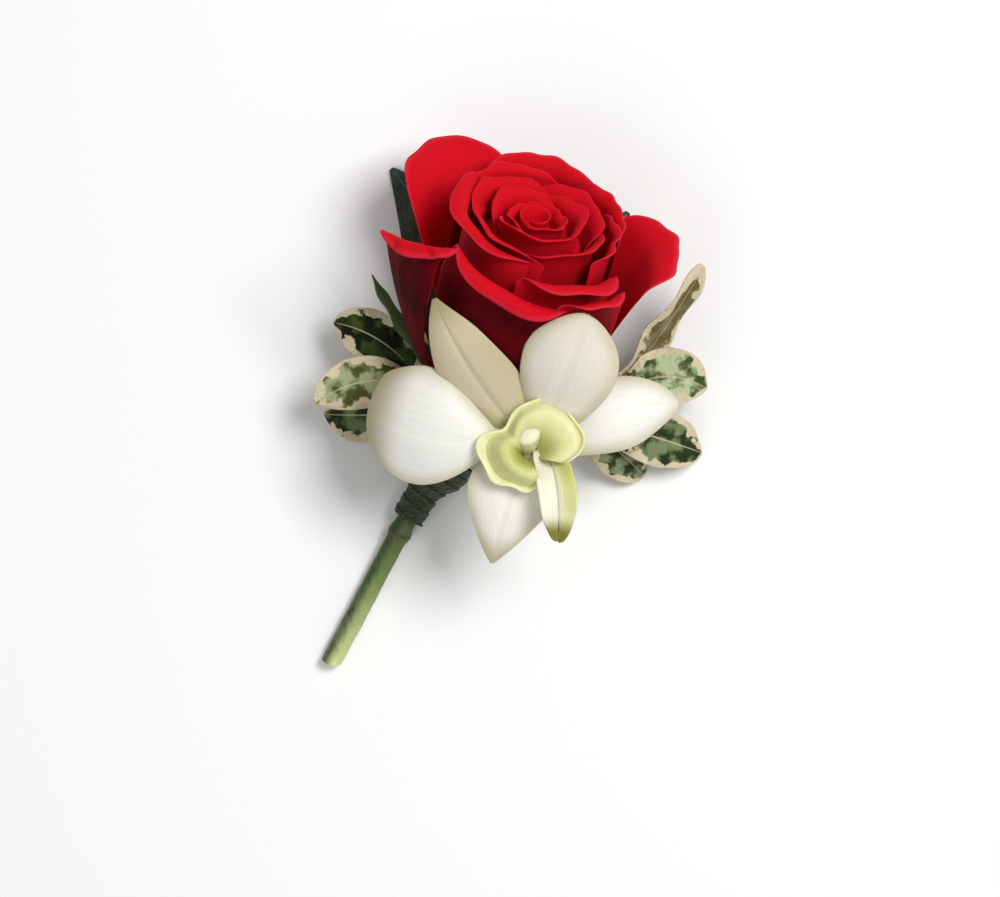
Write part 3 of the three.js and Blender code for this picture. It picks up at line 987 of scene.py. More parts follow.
@dataclass(frozen=True)
class GreenSkin(Finish):
    """A stem's or sepal's skin: light low down, painted light on the side towards the lamp and painted
    shade elsewhere, brown in scars.

    Places are shares of its length. A side angle in radians turns the painted lit side round the stem,
    and two limits set how far round the painted shade reaches.
    """

    low: str = "#D0DA96"
    middle: str = "#6C8040"
    high: str = "#2A3F16"
    places: Places = (0.0, 0.3, 0.6)
    scar: str = "#3B3020"
    # Where the painted light falls round the stem, and how far the painted shade reaches
    painted_light_side: float = -1.57
    painted_light_limits: Pair = (-0.6, 0.8)
    painted_shade_strength: float = 0.8
    streak_share: float = 0.2
    streak_mm: float = 2.2
    streak_limits: Pair = (0.35, 0.7)
    cell_mm: float = 0.7
    stretch: Point = (3.0, 1.0, 3.0)

    def pattern(self, tree: NodeTree) -> Pattern:
        """Builds colour along the stem, painted light and painted shade round it, and long streaks.

        Args:
            tree: The material's tree.

        Returns:
            Its colours and its height.
        """
        along, stain, turn = (
            add_node(tree, "ShaderNodeAttribute", attribute_name=name).outputs["Fac"]
            for name in ("along", "stain", "turn")
        )
        # Painted shade on the side of the stem turned away from the lamp, mixed with the streaks
        circle = {0: turn, 1: 2 * math.pi, 2: self.painted_light_side}
        angle = add_node(tree, "ShaderNodeMath", circle, operation="MULTIPLY_ADD")
        facing = add_node(tree, "ShaderNodeMath", {0: angle}, operation="SINE")
        lit, unlit = self.painted_light_limits
        away = {"Value": facing, "From Min": lit, "From Max": unlit}
        shaded = add_node(tree, "ShaderNodeMapRange", away, **EASED)
        streak = blotches(tree, self.streak_mm, *self.streak_limits, self.stretch)
        streaks = {0: streak, 1: self.streak_share}
        shade_and_streaks = {
            0: shaded,
            1: self.painted_shade_strength,
            2: add_node(tree, "ShaderNodeMath", streaks, operation="MULTIPLY"),
        }
        stops = tuple(zip(self.places, (self.low, self.middle, self.high)))
        layers = (
            (add_node(tree, "ShaderNodeMath", shade_and_streaks, operation="MULTIPLY_ADD"), self.high),
            (stain, self.scar),
        )
        climb = add_node(tree, "ShaderNodeValToRGB", {"Fac": along}, ramp=stops)
        # The skin's long cells are about a fifth of this size, too fine to show
        return Pattern(climb, layers, blotches(tree, self.cell_mm, *GRAIN, self.stretch))


@dataclass(frozen=True)
class CutPith(Finish):
    """A stem's moist cut end: pale pith inside a ring of green wood."""

    pith: str = "#E2E6BE"
    wood: str = "#A9B56C"
    ring_mm: float = 0.55
    fibre_mm: float = 0.4
    fibre_share: float = 0.3

    def pattern(self, tree: NodeTree) -> Pattern:
        """Builds colour by distance from the skin, with fibres.

        Args:
            tree: The material's tree.

        Returns:
            Its colours and its height.
        """
        margin = add_node(tree, "ShaderNodeAttribute", attribute_name="margin").outputs["Fac"]
        ring = {"Value": margin, "From Max": self.ring_mm}
        inward = add_node(tree, "ShaderNodeMapRange", ring, **EASED)
        # The fibres' ends are about a quarter of this size, too fine to show
        fibres = blotches(tree, self.fibre_mm)
        green = add_node(tree, "ShaderNodeMath", {0: fibres, 1: self.fibre_share}, operation="MULTIPLY")
        return Pattern(self.wood, ((inward, self.pith), (green, self.wood)), fibres)


@dataclass(frozen=True)
class TwoTone(Finish):
    """A surface of two shades in soft patches, as smooth flesh or crinkled tape has."""

    light: str = "#FFFFFF"
    dark: str = "#000000"
    patch_mm: float = 2.0
    patch_stretch: Point = (1.0, 1.0, 1.0)

    def pattern(self, tree: NodeTree) -> Pattern:
        """Builds the patches, which are both colour and relief.

        Args:
            tree: The material's tree.

        Returns:
            Its colours and its height.
        """
        patch = blotches(tree, self.patch_mm, stretch=self.patch_stretch)
        return Pattern(self.dark, ((patch, self.light),), patch)


class Finishes(Enum):
    """The boutonniere's finishes, named for the real substances."""

    # Velvety cells kill the gloss and give a faint sheen; light that goes in comes out red
    ROSE = RosePetal(
        "rose petal",
        roughness=0.78,
        ior=1.4,
        scatter_mm=1.4,
        scatter_colour=(1.0, 0.06, 0.06),
        scatter=0.3,
        sheen=0.02,
        sheen_tint="#FF2038",
        specular=0.08,
        relief_mm=0.12,
        relief=0.2,
    )
    # The same velvet on the petals that the others cover, a lighter copy whose painted shade in the
    # foot and outside is weaker, so they stay lighter outside
    ROSE_HEART = replace(
        ROSE,
        name="inner rose petal",
        foot="#860711",
        middle="#C20D1D",
        painted_shade_outer_foot="#70040C",
        outer_middle="#B40C1B",
        outer_upper="#CC1223",
    )
    # Thick waxy flesh: a soft gloss, and light that spreads under the surface
    TEPAL = OrchidPetal(
        "dendrobium petal",
        roughness=0.48,
        ior=1.42,
        scatter_mm=1.5,
        scatter_colour=(1.0, 0.95, 0.75),
        scatter=0.3,
        specular=0.3,
        relief_mm=0.06,
        relief=0.2,
    )
    # The same flesh, thicker and wetter
    LIP = OrchidLip(
        "dendrobium lip",
        roughness=0.42,
        ior=1.42,
        scatter_mm=1.2,
        scatter_colour=(0.9, 1.0, 0.45),
        scatter=0.3,
        specular=0.3,
        relief_mm=0.1,
        relief=0.25,
    )
    # A leathery cuticle: a broad satin highlight broken by the veins
    LEAF = VariegatedLeaf(
        "variegated pittosporum leaf",
        roughness=0.5,
        ior=1.46,
        specular=0.12,
        relief_mm=0.25,
        relief=0.5,
    )
    # A polished cuticle: a narrower highlight on near-black green
    DARK = DarkLeaf(
        "glossy salal leaf", roughness=0.38, ior=1.46, coat=0.12, relief_mm=0.25, relief=0.5
    )
    # Waxed skin: a long soft highlight down the stem
    STEM = GreenSkin(
        "waxy rose stem",
        roughness=0.44,
        scatter_mm=0.4,
        scatter_colour=(0.6, 1.0, 0.3),
        scatter=0.06,
        relief_mm=0.2,
    )
    # The same skin, evenly green and duller
    SEPAL = GreenSkin("rose sepal", low="#3F5A28", middle="#486430", high="#34491F", relief_mm=0.2)
    # Wet fibres: pale and matt
    PITH = CutPith("cut stem pith", ior=1.4, relief_mm=0.2, relief=0.5)
    # Smooth watery flesh: pale green with a soft gloss
    STALK = TwoTone(
        "orchid stalk",
        roughness=0.45,
        ior=1.42,
        scatter_colour=(0.8, 1.0, 0.4),
        scatter=0.1,
        light="#B8C07C",
        dark="#8F9C58",
    )
    # Waxed crepe paper: crinkles under a millimetre apart that catch the light on their crests
    WRAP = TwoTone(
        "waxed crepe stem wrap",
        roughness=0.52,
        relief_mm=0.25,
        relief=0.8,
        light="#3A4F2D",
        dark="#1D2A17",
        patch_mm=0.9,
        patch_stretch=(1.0, 3.0, 1.0),
    )

    def material(self) -> Material:
        """The finish's material, made the first time it is asked for."""
        return bpy.data.materials.get(self.value.name) or self.value.material()


# Growth by Geometry Nodes


class GeometryTree:
    """A Geometry Nodes tree with named inputs, and the way it is grown from a mesh."""

    def __init__(self, name: str) -> None:
        """Starts the tree with its geometry sockets.

        Args:
            name: The tree's name.
        """
        self.tree = bpy.data.node_groups.new(name, "GeometryNodeTree")
        self.identifiers: dict[str, str] = {}
        for way in ("INPUT", "OUTPUT"):
            self.tree.interface.new_socket("Geometry", in_out=way, socket_type="NodeSocketGeometry")

    def declare(self, **inputs: str) -> Any:
        """Args:
            **inputs: Each input's name and its socket type, without the word NodeSocket.

        Returns:
            The sockets that give the inputs' values.
        """
        for name, kind in inputs.items():
            kind = f"NodeSocket{kind}"
            socket = self.tree.interface.new_socket(name, in_out="INPUT", socket_type=kind)
            self.identifiers[name] = socket.identifier
        return add_node(self.tree, "NodeGroupInput").outputs

    def uneven(self, geometry: Any, size: Any, depth: Any, seed: Any) -> Node:
        """Moves the surface in and out at random.

        Args:
            geometry: What gives the geometry.
            size: The size of one bump, in metres.
            depth: From the deepest hollow to the highest bump, in metres.
            seed: What tells one random pattern from another.

        Returns:
            The node that gives the uneven geometry.
        """
        finer = add_node(self.tree, "ShaderNodeMath", {0: 1.0, 1: size}, operation="DIVIDE")
        shape = {"Scale": finer, "W": seed, "Detail": 2.0}
        noise = add_node(self.tree, "ShaderNodeTexNoise", shape, noise_dimensions="4D")
        centred = add_node(self.tree, "ShaderNodeMath", {0: noise, 1: 0.5}, operation="SUBTRACT")
        rise = add_node(self.tree, "ShaderNodeMath", {0: centred, 1: depth}, operation="MULTIPLY")
        return self.raised(geometry, rise)

    def raised(self, geometry: Any, rise: Any) -> Node:
        """Moves the surface along its normal.

        Args:
            geometry: What gives the geometry.
            rise: How far each point moves, in metres.

        Returns:
            The node that gives the moved geometry.
        """
        scaled = {0: add_node(self.tree, "GeometryNodeInputNormal"), "Scale": rise}
        offset = add_node(self.tree, "ShaderNodeVectorMath", scaled, operation="SCALE")
        return add_node(self.tree, "GeometryNodeSetPosition", {"Geometry": geometry, "Offset": offset})

    def swept(self, path: Any, rings: Any, sides: Any, caps: bool) -> Node:
        """Sweeps a circle along the path, as wide as the path's radius attribute says.

        Args:
            path: What gives the path as a line of edges.
            rings: How many rings the sweep has.
            sides: How many sides a ring has.
            caps: Whether its ends are closed.

        Returns:
            The node that gives the swept mesh, on which climb and turn run from 0 to 1 along the
            path and round it.
        """
        tree = self.tree
        share = add_node(tree, "GeometryNodeSplineParameter").outputs["Factor"]
        curve = add_node(tree, "GeometryNodeMeshToCurve", {"Mesh": path})
        even = add_node(tree, "GeometryNodeResampleCurve", {"Curve": curve, "Count": rings})
        climbing = {"Geometry": even, "Name": "climb", "Value": share}
        ring = {"Resolution": sides, "Radius": 1.0}
        circle = add_node(tree, "GeometryNodeCurvePrimitiveCircle", ring)
        turning = {"Geometry": circle, "Name": "turn", "Value": share}
        width = add_node(tree, "GeometryNodeInputNamedAttribute", {"Name": "radius"})
        sweep = {
            "Curve": add_node(tree, "GeometryNodeStoreNamedAttribute", climbing),
            "Profile Curve": add_node(tree, "GeometryNodeStoreNamedAttribute", turning),
            "Scale": width,
            "Fill Caps": caps,
        }
        return add_node(tree, "GeometryNodeCurveToMesh", sweep)

    def finish(self, geometry: Any, material: Any) -> None:
        """Ends the tree: smooth shading, real geometry, material.

        Args:
            geometry: What gives the geometry.
            material: What gives the material.
        """
        eased = add_node(self.tree, "GeometryNodeSetShadeSmooth", {"Geometry": geometry})
        real = add_node(self.tree, "GeometryNodeRealizeInstances", {"Geometry": eased})
        dressing = {"Geometry": real, "Material": material}
        dressed = add_node(self.tree, "GeometryNodeSetMaterial", dressing)
        add_node(self.tree, "NodeGroupOutput", {0: dressed})

    def grown(self, name: str, start: Mesh, **values: Any) -> Piece:
        """Runs the tree on a mesh and keeps the result as a plain mesh.

        Args:
            name: The new piece's name.
            start: The mesh to grow from, which is used up.
            **values: Values for the tree's inputs, by name.

        Returns:
            The piece, at the origin and with no modifier.
        """
        carrier = placed(f"{name}_start", start)
        modifier = carrier.modifiers.new("growth", "NODES")
        modifier.node_group = self.tree
        for input_name, value in values.items():
            modifier[self.identifiers[input_name]] = value
        graph = bpy.context.evaluated_depsgraph_get()
        mesh = bpy.data.meshes.new_from_object(carrier.evaluated_get(graph))
        mesh.name = name
        bpy.data.objects.remove(carrier)
        bpy.data.meshes.remove(start)
        return placed(name, mesh)


class StalkTree(GeometryTree):
    """Sweeps a round, slightly uneven stalk along a path."""

    def __init__(self) -> None:
        """Builds the tree."""
        super().__init__("Stalk")
        source = self.declare(
            sides="Int",
            rings="Int",
            bump_size="Float",
            bump_depth="Float",
            seed="Float",
            material="Material",
        )
        stalk = self.swept(source["Geometry"], source["rings"], source["sides"], caps=True)
        bumpy = self.uneven(stalk, source["bump_size"], source["bump_depth"], source["seed"])
        self.finish(bumpy, source["material"])


class WindingTree(GeometryTree):
    """Winds tape round a path: a sleeve that steps up along every overlapping edge."""

    def __init__(self) -> None:
        """Builds the tree."""
        super().__init__("Winding")
        source = self.declare(
            sides="Int",
            rings="Int",
            turns="Float",
            lap="Float",
            crinkle_size="Float",
            crinkle_depth="Float",
            seed="Float",
            material="Material",
        )
        sleeve = self.swept(source["Geometry"], source["rings"], source["sides"], caps=False)
        climb = add_node(self.tree, "GeometryNodeInputNamedAttribute", {"Name": "climb"})
        turn = add_node(self.tree, "GeometryNodeInputNamedAttribute", {"Name": "turn"})
        spiral = {0: climb, 1: source["turns"], 2: turn}
        wound = add_node(self.tree, "ShaderNodeMath", spiral, operation="MULTIPLY_ADD")
        step = add_node(self.tree, "ShaderNodeMath", {0: wound}, operation="FRACT")
        rise = add_node(self.tree, "ShaderNodeMath", {0: step, 1: source["lap"]}, operation="MULTIPLY")
        wrapped = self.raised(sleeve, rise)
        crinkled = self.uneven(wrapped, source["crinkle_size"], source["crinkle_depth"], source["seed"])
        self.finish(crinkled, source["material"])


class WhorlTree(GeometryTree):
    """Repeats a petal round the rose's axis, each turned, sized and creased a little differently."""

    def __init__(self) -> None:
        """Builds the tree."""
        super().__init__("Whorl")
        source = self.declare(
            count="Int",
            seat="Vector",
            axis="Vector",
            uneven_turn="Float",
            uneven_size="Float",
            crease_size="Float",
            crease_depth="Float",
            seed="Int",
            material="Material",
        )
        tree = self.tree
        seat, count, seed, most = (source[name] for name in ("seat", "count", "seed", "uneven_turn"))
        back = add_node(tree, "ShaderNodeVectorMath", {0: seat, "Scale": -1.0}, operation="SCALE")
        lowering = {"Geometry": source["Geometry"], "Translation": back}
        lowered = add_node(tree, "GeometryNodeTransform", lowering)
        seats = add_node(tree, "GeometryNodePoints", {"Count": count, "Position": seat})
        step = add_node(tree, "ShaderNodeMath", {0: 2 * math.pi, 1: count}, operation="DIVIDE")
        least = add_node(tree, "ShaderNodeMath", {0: most, 1: -1.0}, operation="MULTIPLY")
        stray_range = {"Min": least, "Max": most, "Seed": seed}
        stray = add_node(tree, "FunctionNodeRandomValue", stray_range, data_type="FLOAT")
        turning = {0: add_node(tree, "GeometryNodeInputIndex"), 1: step, 2: stray}
        angle = add_node(tree, "ShaderNodeMath", turning, operation="MULTIPLY_ADD")
        about = {"Axis": source["axis"], "Angle": angle}
        turned = add_node(tree, "FunctionNodeAxisAngleToRotation", about)
        smaller = {0: 1.0, 1: source["uneven_size"]}
        smallest = add_node(tree, "ShaderNodeMath", smaller, operation="SUBTRACT")
        size_range = {"Min": smallest, "Max": 1.0, "Seed": seed}
        size = add_node(tree, "FunctionNodeRandomValue", size_range, data_type="FLOAT")
        ring = {"Points": seats, "Instance": lowered, "Rotation": turned, "Scale": size}
        whorl = add_node(tree, "GeometryNodeInstanceOnPoints", ring)
        real = add_node(tree, "GeometryNodeRealizeInstances", {"Geometry": whorl})
        finer = add_node(tree, "ShaderNodeMath", {0: 1.0, 1: source["crease_size"]}, operation="DIVIDE")
        shape = {"Scale": finer, "W": seed, "Detail": 1.0}
        noise = add_node(tree, "ShaderNodeTexNoise", shape, noise_dimensions="4D").outputs["Color"]
        middle = {0: noise, 1: (0.5, 0.5, 0.5)}
        centred = add_node(tree, "ShaderNodeVectorMath", middle, operation="SUBTRACT")
        shift = {0: centred, "Scale": source["crease_depth"]}
        offset = add_node(tree, "ShaderNodeVectorMath", shift, operation="SCALE")
        creased = add_node(tree, "GeometryNodeSetPosition", {"Geometry": real, "Offset": offset})
        self.finish(creased, source["material"])


def path_mesh(name: str, centres: Array, **fields: Array) -> Mesh:
    """Makes a line of edges for a tree to grow from.

    Args:
        name: The mesh's name.
        centres: The line's points in layout millimetres.
        **fields: Values for each of its points, by attribute name.

    Returns:
        The mesh.
    """
    mesh = bpy.data.meshes.new(name)
    mesh.from_pydata(row_metres(centres).tolist(), [(k, k + 1) for k in range(len(centres) - 1)], [])
    for field_name, values in fields.items():
        attribute = mesh.attributes.new(field_name, "FLOAT", "POINT")
        attribute.data.foreach_set("value", values.astype(np.float32))
    return mesh


# The rose


@dataclass(frozen=True)
class RoseFrame:
    """Where the rose stands: its seat on the hip and the way its axis points."""

    seat: Point = (-1.5, 9.5, 10.5)
    tilt: float = 52.0
    turn: float = 15.0

    def axes(self) -> tuple[Array, Array, Array]:
        """Finds the rose's own directions.

        Returns:
            Its axis, its side and its back as unit vectors.
        """
        tilt, turn = math.radians(self.tilt), math.radians(self.turn)
        ahead = np.array([math.sin(turn), math.cos(turn), 0.0])
        axis = math.sin(tilt) * ahead + math.cos(tilt) * np.array([0.0, 0.0, 1.0])
        side = np.array([math.cos(turn), -math.sin(turn), 0.0])
        return axis, side, np.cross(axis, side)

    def points(self, radius: Array, azimuth: Array, height: Array) -> Array:
        """Turns the rose's own measures into layout points.

        Args:
            radius: Distances from the axis.
            azimuth: Degrees about it.
            height: Heights over the seat.

        Returns:
            The points, one a row.
        """
        axis, side, back = self.axes()
        angle = np.radians(azimuth)
        return (
            np.array(self.seat)
            + np.multiply.outer(height, axis)
            + np.multiply.outer(radius * np.cos(angle), side)
            + np.multiply.outer(radius * np.sin(angle), back)
        )

    def point(self, radius: float, azimuth: float, height: float) -> Point:
        """One such point."""
        x, y, z = self.points(np.array([radius]), np.array([azimuth]), np.array([height]))[0]
        return float(x), float(y), float(z)


@dataclass(frozen=True)
class Petal:
    """One rose petal about the rose's axis: a cup up to its rim, then a margin rolled out.

    Lengths are millimetres, angles degrees and the rest shares. The cup reaches span to each side of
    azimuth, and radius at height. Foot and belly are its radius low down and half way up, and waist
    its width in the foot. Start leaves away its lowest part and corner rounds its upper corners off.
    Lap and flare carry one side further out than the other, slope further up, and wave and flutter
    ruffle the rim. Roll is how long the rolled margin is, curl how far it turns, side_curl how much
    more at the sides, and lean how far aside it points. The rim value says how much painted highlight
    lightens the rim, and shade how much painted shade darkens the outer face.
    """

    azimuth: float
    radius: float
    height: float
    span: float
    roll: float = 2.0
    curl: float = 70.0
    foot: float = 0.85
    belly: float = 1.02
    corner: float = 0.2
    start: float = 0.0
    flare: float = 0.0
    slope: float = 0.0
    lap: float = 0.6
    wave: float = 0.3
    flutter: float = 0.12
    side_curl: float = 0.3
    lean: float = 0.0
    waist: float = 0.6
    # How much painted highlight lightens the rim, and how much painted shade darkens the outer face
    painted_rim_highlight: float = 1.0
    shade: float = 0.0

    ROOT = (1.8, 1.2)  # radius and height where a petal starts
    FOOT_AT = 0.06  # shares of the height
    BELLY_AT = 0.55
    WIDEST_AT = 1.2  # less the waist, the share of the length where the cup has its full width
    LAPPED_AT = 0.4  # the share of the length where the lap is full
    CUP_SHARE = 0.8  # the rest of the petal's length is the rolled margin
    MIDDLE_CURL = 0.7  # by how much side_curl holds the middle of the margin back
    RIPPLE = 2.6 * np.pi  # radians from the middle to a side
    FLUTTERS = (1.3, 2.7, 5.1)  # half waves from the middle to a side
    FLUTTER_RISE = 0.7  # how far flutter goes up for each millimetre out

    def profile(self, t: Array, u: Array) -> tuple[Array, Array, Array]:
        """Follows the petal from its root to its rim.

        Args:
            t: Shares of its length.
            u: Shares across, because the margin rolls further at the sides.

        Returns:
            The cup's radii, how far out of it the rolled margin lies, and heights.
        """
        radii = (self.ROOT[0], self.radius * self.foot, self.radius * self.belly, self.radius)
        heights = (self.ROOT[1], self.height * self.FOOT_AT, self.height * self.BELLY_AT, self.height)
        s = np.minimum(t / self.CUP_SHARE, 1)
        weights = ((1 - s) ** 3, 3 * s * (1 - s) ** 2, 3 * s * s * (1 - s), s**3)
        radius, height = (sum(w * k for w, k in zip(weights, knots)) for knots in (radii, heights))
        past = np.maximum(0, (t - self.CUP_SHARE) / (1 - self.CUP_SHARE))
        begin = math.atan2(radii[3] - radii[2], heights[3] - heights[2])
        turn = math.radians(self.curl) * (1 + self.side_curl * (2 * u * u - self.MIDDLE_CURL))
        rolled = self.roll * (math.cos(begin) - np.cos(begin + turn * past)) / turn
        height = height + self.roll * (np.sin(begin + turn * past) - math.sin(begin)) / turn
        return radius, rolled, height

    def surface(self, frame: RoseFrame, phases: Array, u: Array, v: Array) -> Array:
        """Forms the petal's middle surface.

        Args:
            frame: Where the rose stands.
            phases: Three phases in radians that make its rim flutter unlike its neighbours'.
            u: Shares across, from -1 to 1.
            v: Shares along, from 0 at the root to 1 at the rim.

        Returns:
            Layout points, one a row.
        """
        t = (self.start + (1 - self.start) * v) * (1 - self.corner * np.abs(u) ** 3)
        radius, rolled, height = self.profile(t, u)
        wrap = self.waist + (1 - self.waist) * smooth(t / (self.WIDEST_AT - self.waist))
        ripple = self.wave * np.sin(self.RIPPLE * u + math.radians(self.azimuth)) * t**3
        beats = zip(self.FLUTTERS, phases)
        flutter = self.flutter * sum(np.sin(beat * np.pi * u + phase) for beat, phase in beats)
        flutter = flutter * np.maximum(0, t) ** 7
        lapped = self.lap * u * smooth(t / self.LAPPED_AT)
        out = radius + lapped + self.flare * u * t**3 + ripple + flutter
        up = height + self.slope * u * t**2 + self.FLUTTER_RISE * flutter
        azimuth = self.azimuth + u * self.span * wrap
        margin = frame.points(rolled, azimuth + self.lean, 0 * up) - np.array(frame.seat)
        return frame.points(out, azimuth, up) + margin


@dataclass(frozen=True)
class Bud:
    """The closed bud: one petal rolled up into a spiral, in millimetres and degrees.

    The spiral starts at azimuth, core away from the axis, and lies pitch further out after each of
    its turns. It is narrower in its foot by the share taper, flares at its rim and droops towards
    both ends.
    """

    azimuth: float = 200.0
    turns: float = 1.5
    core: float = 0.7
    pitch: float = 2.0
    taper: float = 0.25
    flare: float = 0.4
    foot: float = 31.0
    height: float = 7.4
    droop: float = 1.2

    def surface(self, frame: RoseFrame, u: Array, v: Array) -> Array:
        """Forms the bud's middle surface.

        Args:
            frame: Where the rose stands.
            u: Shares round the spiral, from -1 to 1.
            v: Shares up it.

        Returns:
            Layout points, one a row.
        """
        turned = self.turns * (u + 1) / 2
        radius = (self.core + self.pitch * turned) * (1 - self.taper * (1 - v))
        radius = radius + self.flare * np.maximum(v, 0) ** 6
        height = self.foot + self.height * v - self.droop * u * u * v
        return frame.points(radius, self.azimuth + 360 * turned, height)


@dataclass
class Rose:
    """The rose's head: a rolled bud in whorls of petals, on a solid heart.

    Cells are counted across a petal and along it. Uneven_turn is in degrees and uneven_size a share.
    """

    whorls: WhorlTree
    frame: RoseFrame = RoseFrame()
    thickness: float = 0.4
    bud: Bud = Bud()
    bud_cells: Cells = (120, 14)
    # How many petals each inner whorl has, and the first of them
    inner: tuple[tuple[int, Petal], ...] = (
        (3, Petal(70, 3.9, 37, 82, roll=2.2, curl=80, start=0.5, painted_rim_highlight=0.1)),
        (3, Petal(20, 6.6, 36.6, 76, roll=3.4, curl=85, start=0.5, painted_rim_highlight=0.1)),
        (4, Petal(45, 9.6, 35.6, 60, roll=4.2, curl=90, start=0.4, painted_rim_highlight=0.2)),
    )
    inner_cells: Cells = (36, 24)
    uneven_turn: float = 7.0
    uneven_size: float = 0.03
    crease_size: float = 9.0
    crease_depth: float = 1.6
    middle: tuple[Petal, ...] = (
        Petal(130, 13, 37, 48, curl=75, start=0.3),
        # The long pale roll on the left
        Petal(
            214, 11.4, 36.2, 60, roll=4, curl=130, corner=0.1, start=0.3,
            flare=-2.2, slope=-1.8, side_curl=0,
        ),
        # The roll at the lower right
        Petal(310, 13.7, 32.1, 43, roll=5.8, curl=144, start=0.3, flare=0.4, slope=-1.8),
        Petal(5, 13, 35.6, 36, curl=90, start=0.3),
    )
    middle_cells: Cells = (44, 36)
    outer: tuple[Petal, ...] = (
        Petal(46, 15, 35.4, 36, roll=2.6, curl=80),
        Petal(92, 16, 35.6, 40, roll=3.4, curl=75),
        # The broad front petal, rolled right over, its outer face darkened by painted shade
        Petal(
            261, 15.4, 31.7, 52, roll=5.3, curl=186, foot=0.9, belly=1.08, corner=0.3,
            flare=0.3, slope=-3.9, side_curl=0, waist=0.9, shade=0.7,
        ),
        # The tall petal at the back
        Petal(137, 22.4, 32.3, 38, roll=6, curl=60, foot=0.55, belly=0.5, corner=0.5, waist=0.4),
        # The left petal, whose margin hangs aside, its outer face darkened by painted shade
        Petal(
            209, 21.5, 32.3, 16, roll=6.3, curl=135, foot=0.7, belly=0.96, corner=0.1,
            flare=-5.8, slope=3.1, side_curl=0, lean=88, waist=1, shade=1,
        ),
        Petal(319, 16.8, 30.6, 24, roll=4.5, curl=105, flare=0.5, side_curl=0),
        # The right petal
        Petal(22, 21, 30, 30, roll=6, curl=80, foot=0.72, belly=0.74, waist=0.9),
        Petal(84, 18, 31, 44, roll=4, curl=90),
    )
    outer_cells: Cells = (48, 44)
    heart_heights: tuple[float, ...] = (0.3, 3.5, 11, 24, 31, 33.6, 34.8, 35.2)
    heart_radii: tuple[float, ...] = (4.0, 7.0, 8.8, 9.6, 9.4, 8.0, 4.6, 0.5)
    heart_rings: int = 40
    heart_sides: int = 32
    # How much painted highlight lightens the bud's rim
    bud_rim_highlight: float = 0.1

    def build_whorl(self, number: int, count: int, petal: Blade) -> Piece:
        """Grows one inner whorl from its petal.

        Args:
            number: The whorl's place from the bud.
            count: How many petals it has.
            petal: The first of them.

        Returns:
            The whorl.
        """
        draft = Draft()
        draft.add_blade(petal)
        return self.whorls.grown(
            f"rose_whorl_{number}",
            draft.mesh("whorl_petal"),
            count=count,
            seat=tuple(row_metres(np.array(self.frame.seat))),
            axis=tuple(self.frame.axes()[0]),
            uneven_turn=math.radians(self.uneven_turn),
            uneven_size=self.uneven_size,
            crease_size=self.crease_size * MM,
            crease_depth=self.crease_depth * MM,
            seed=SEED + number,
            material=Finishes.ROSE_HEART.material(),
        )

    def build_bud(self) -> Piece:
        """Makes the bud and the heart that it and the petals stand on.

        Returns:
            One piece.
        """
        draft = Draft()
        surface = partial(self.bud.surface, self.frame)
        draft.add_blade(Blade(surface, self.thickness, *self.bud_cells, tone=self.bud_rim_highlight))
        height = np.linspace(self.heart_heights[0], self.heart_heights[-1], self.heart_rings)
        centres = self.frame.points(0 * height, 0 * height, height)
        radii = np.interp(height, self.heart_heights, self.heart_radii)
        draft.add_bar(centres, radii, self.heart_sides)
        return draft.piece("rose_bud", Finishes.ROSE_HEART.material())

    def build(self) -> list[Piece]:
        """Makes the head.

        Returns:
            Its pieces.
        """
        rng = np.random.default_rng(SEED)

        def blade(petal: Petal, cells: Cells) -> Blade:
            """A petal whose rim flutters in its own way."""
            surface = partial(petal.surface, self.frame, rng.uniform(0, 2 * np.pi, 3))
            return Blade(surface, self.thickness, *cells, tone=petal.painted_rim_highlight, stain=petal.shade)

        pieces = []
        for number, (count, petal) in enumerate(self.inner, start=1):
            pieces.append(self.build_whorl(number, count, blade(petal, self.inner_cells)))
        groups = (
            ("middle", self.middle, self.middle_cells, Finishes.ROSE_HEART),
            ("outer", self.outer, self.outer_cells, Finishes.ROSE),
        )
        for name, petals, cells, finish in groups:
            draft = Draft()
            for petal in petals:
                draft.add_blade(blade(petal, cells))
            pieces.append(draft.piece(f"rose_{name}_petals", finish.material()))
        pieces.append(self.build_bud())
        return stands_for(pieces, "rose_bloom")


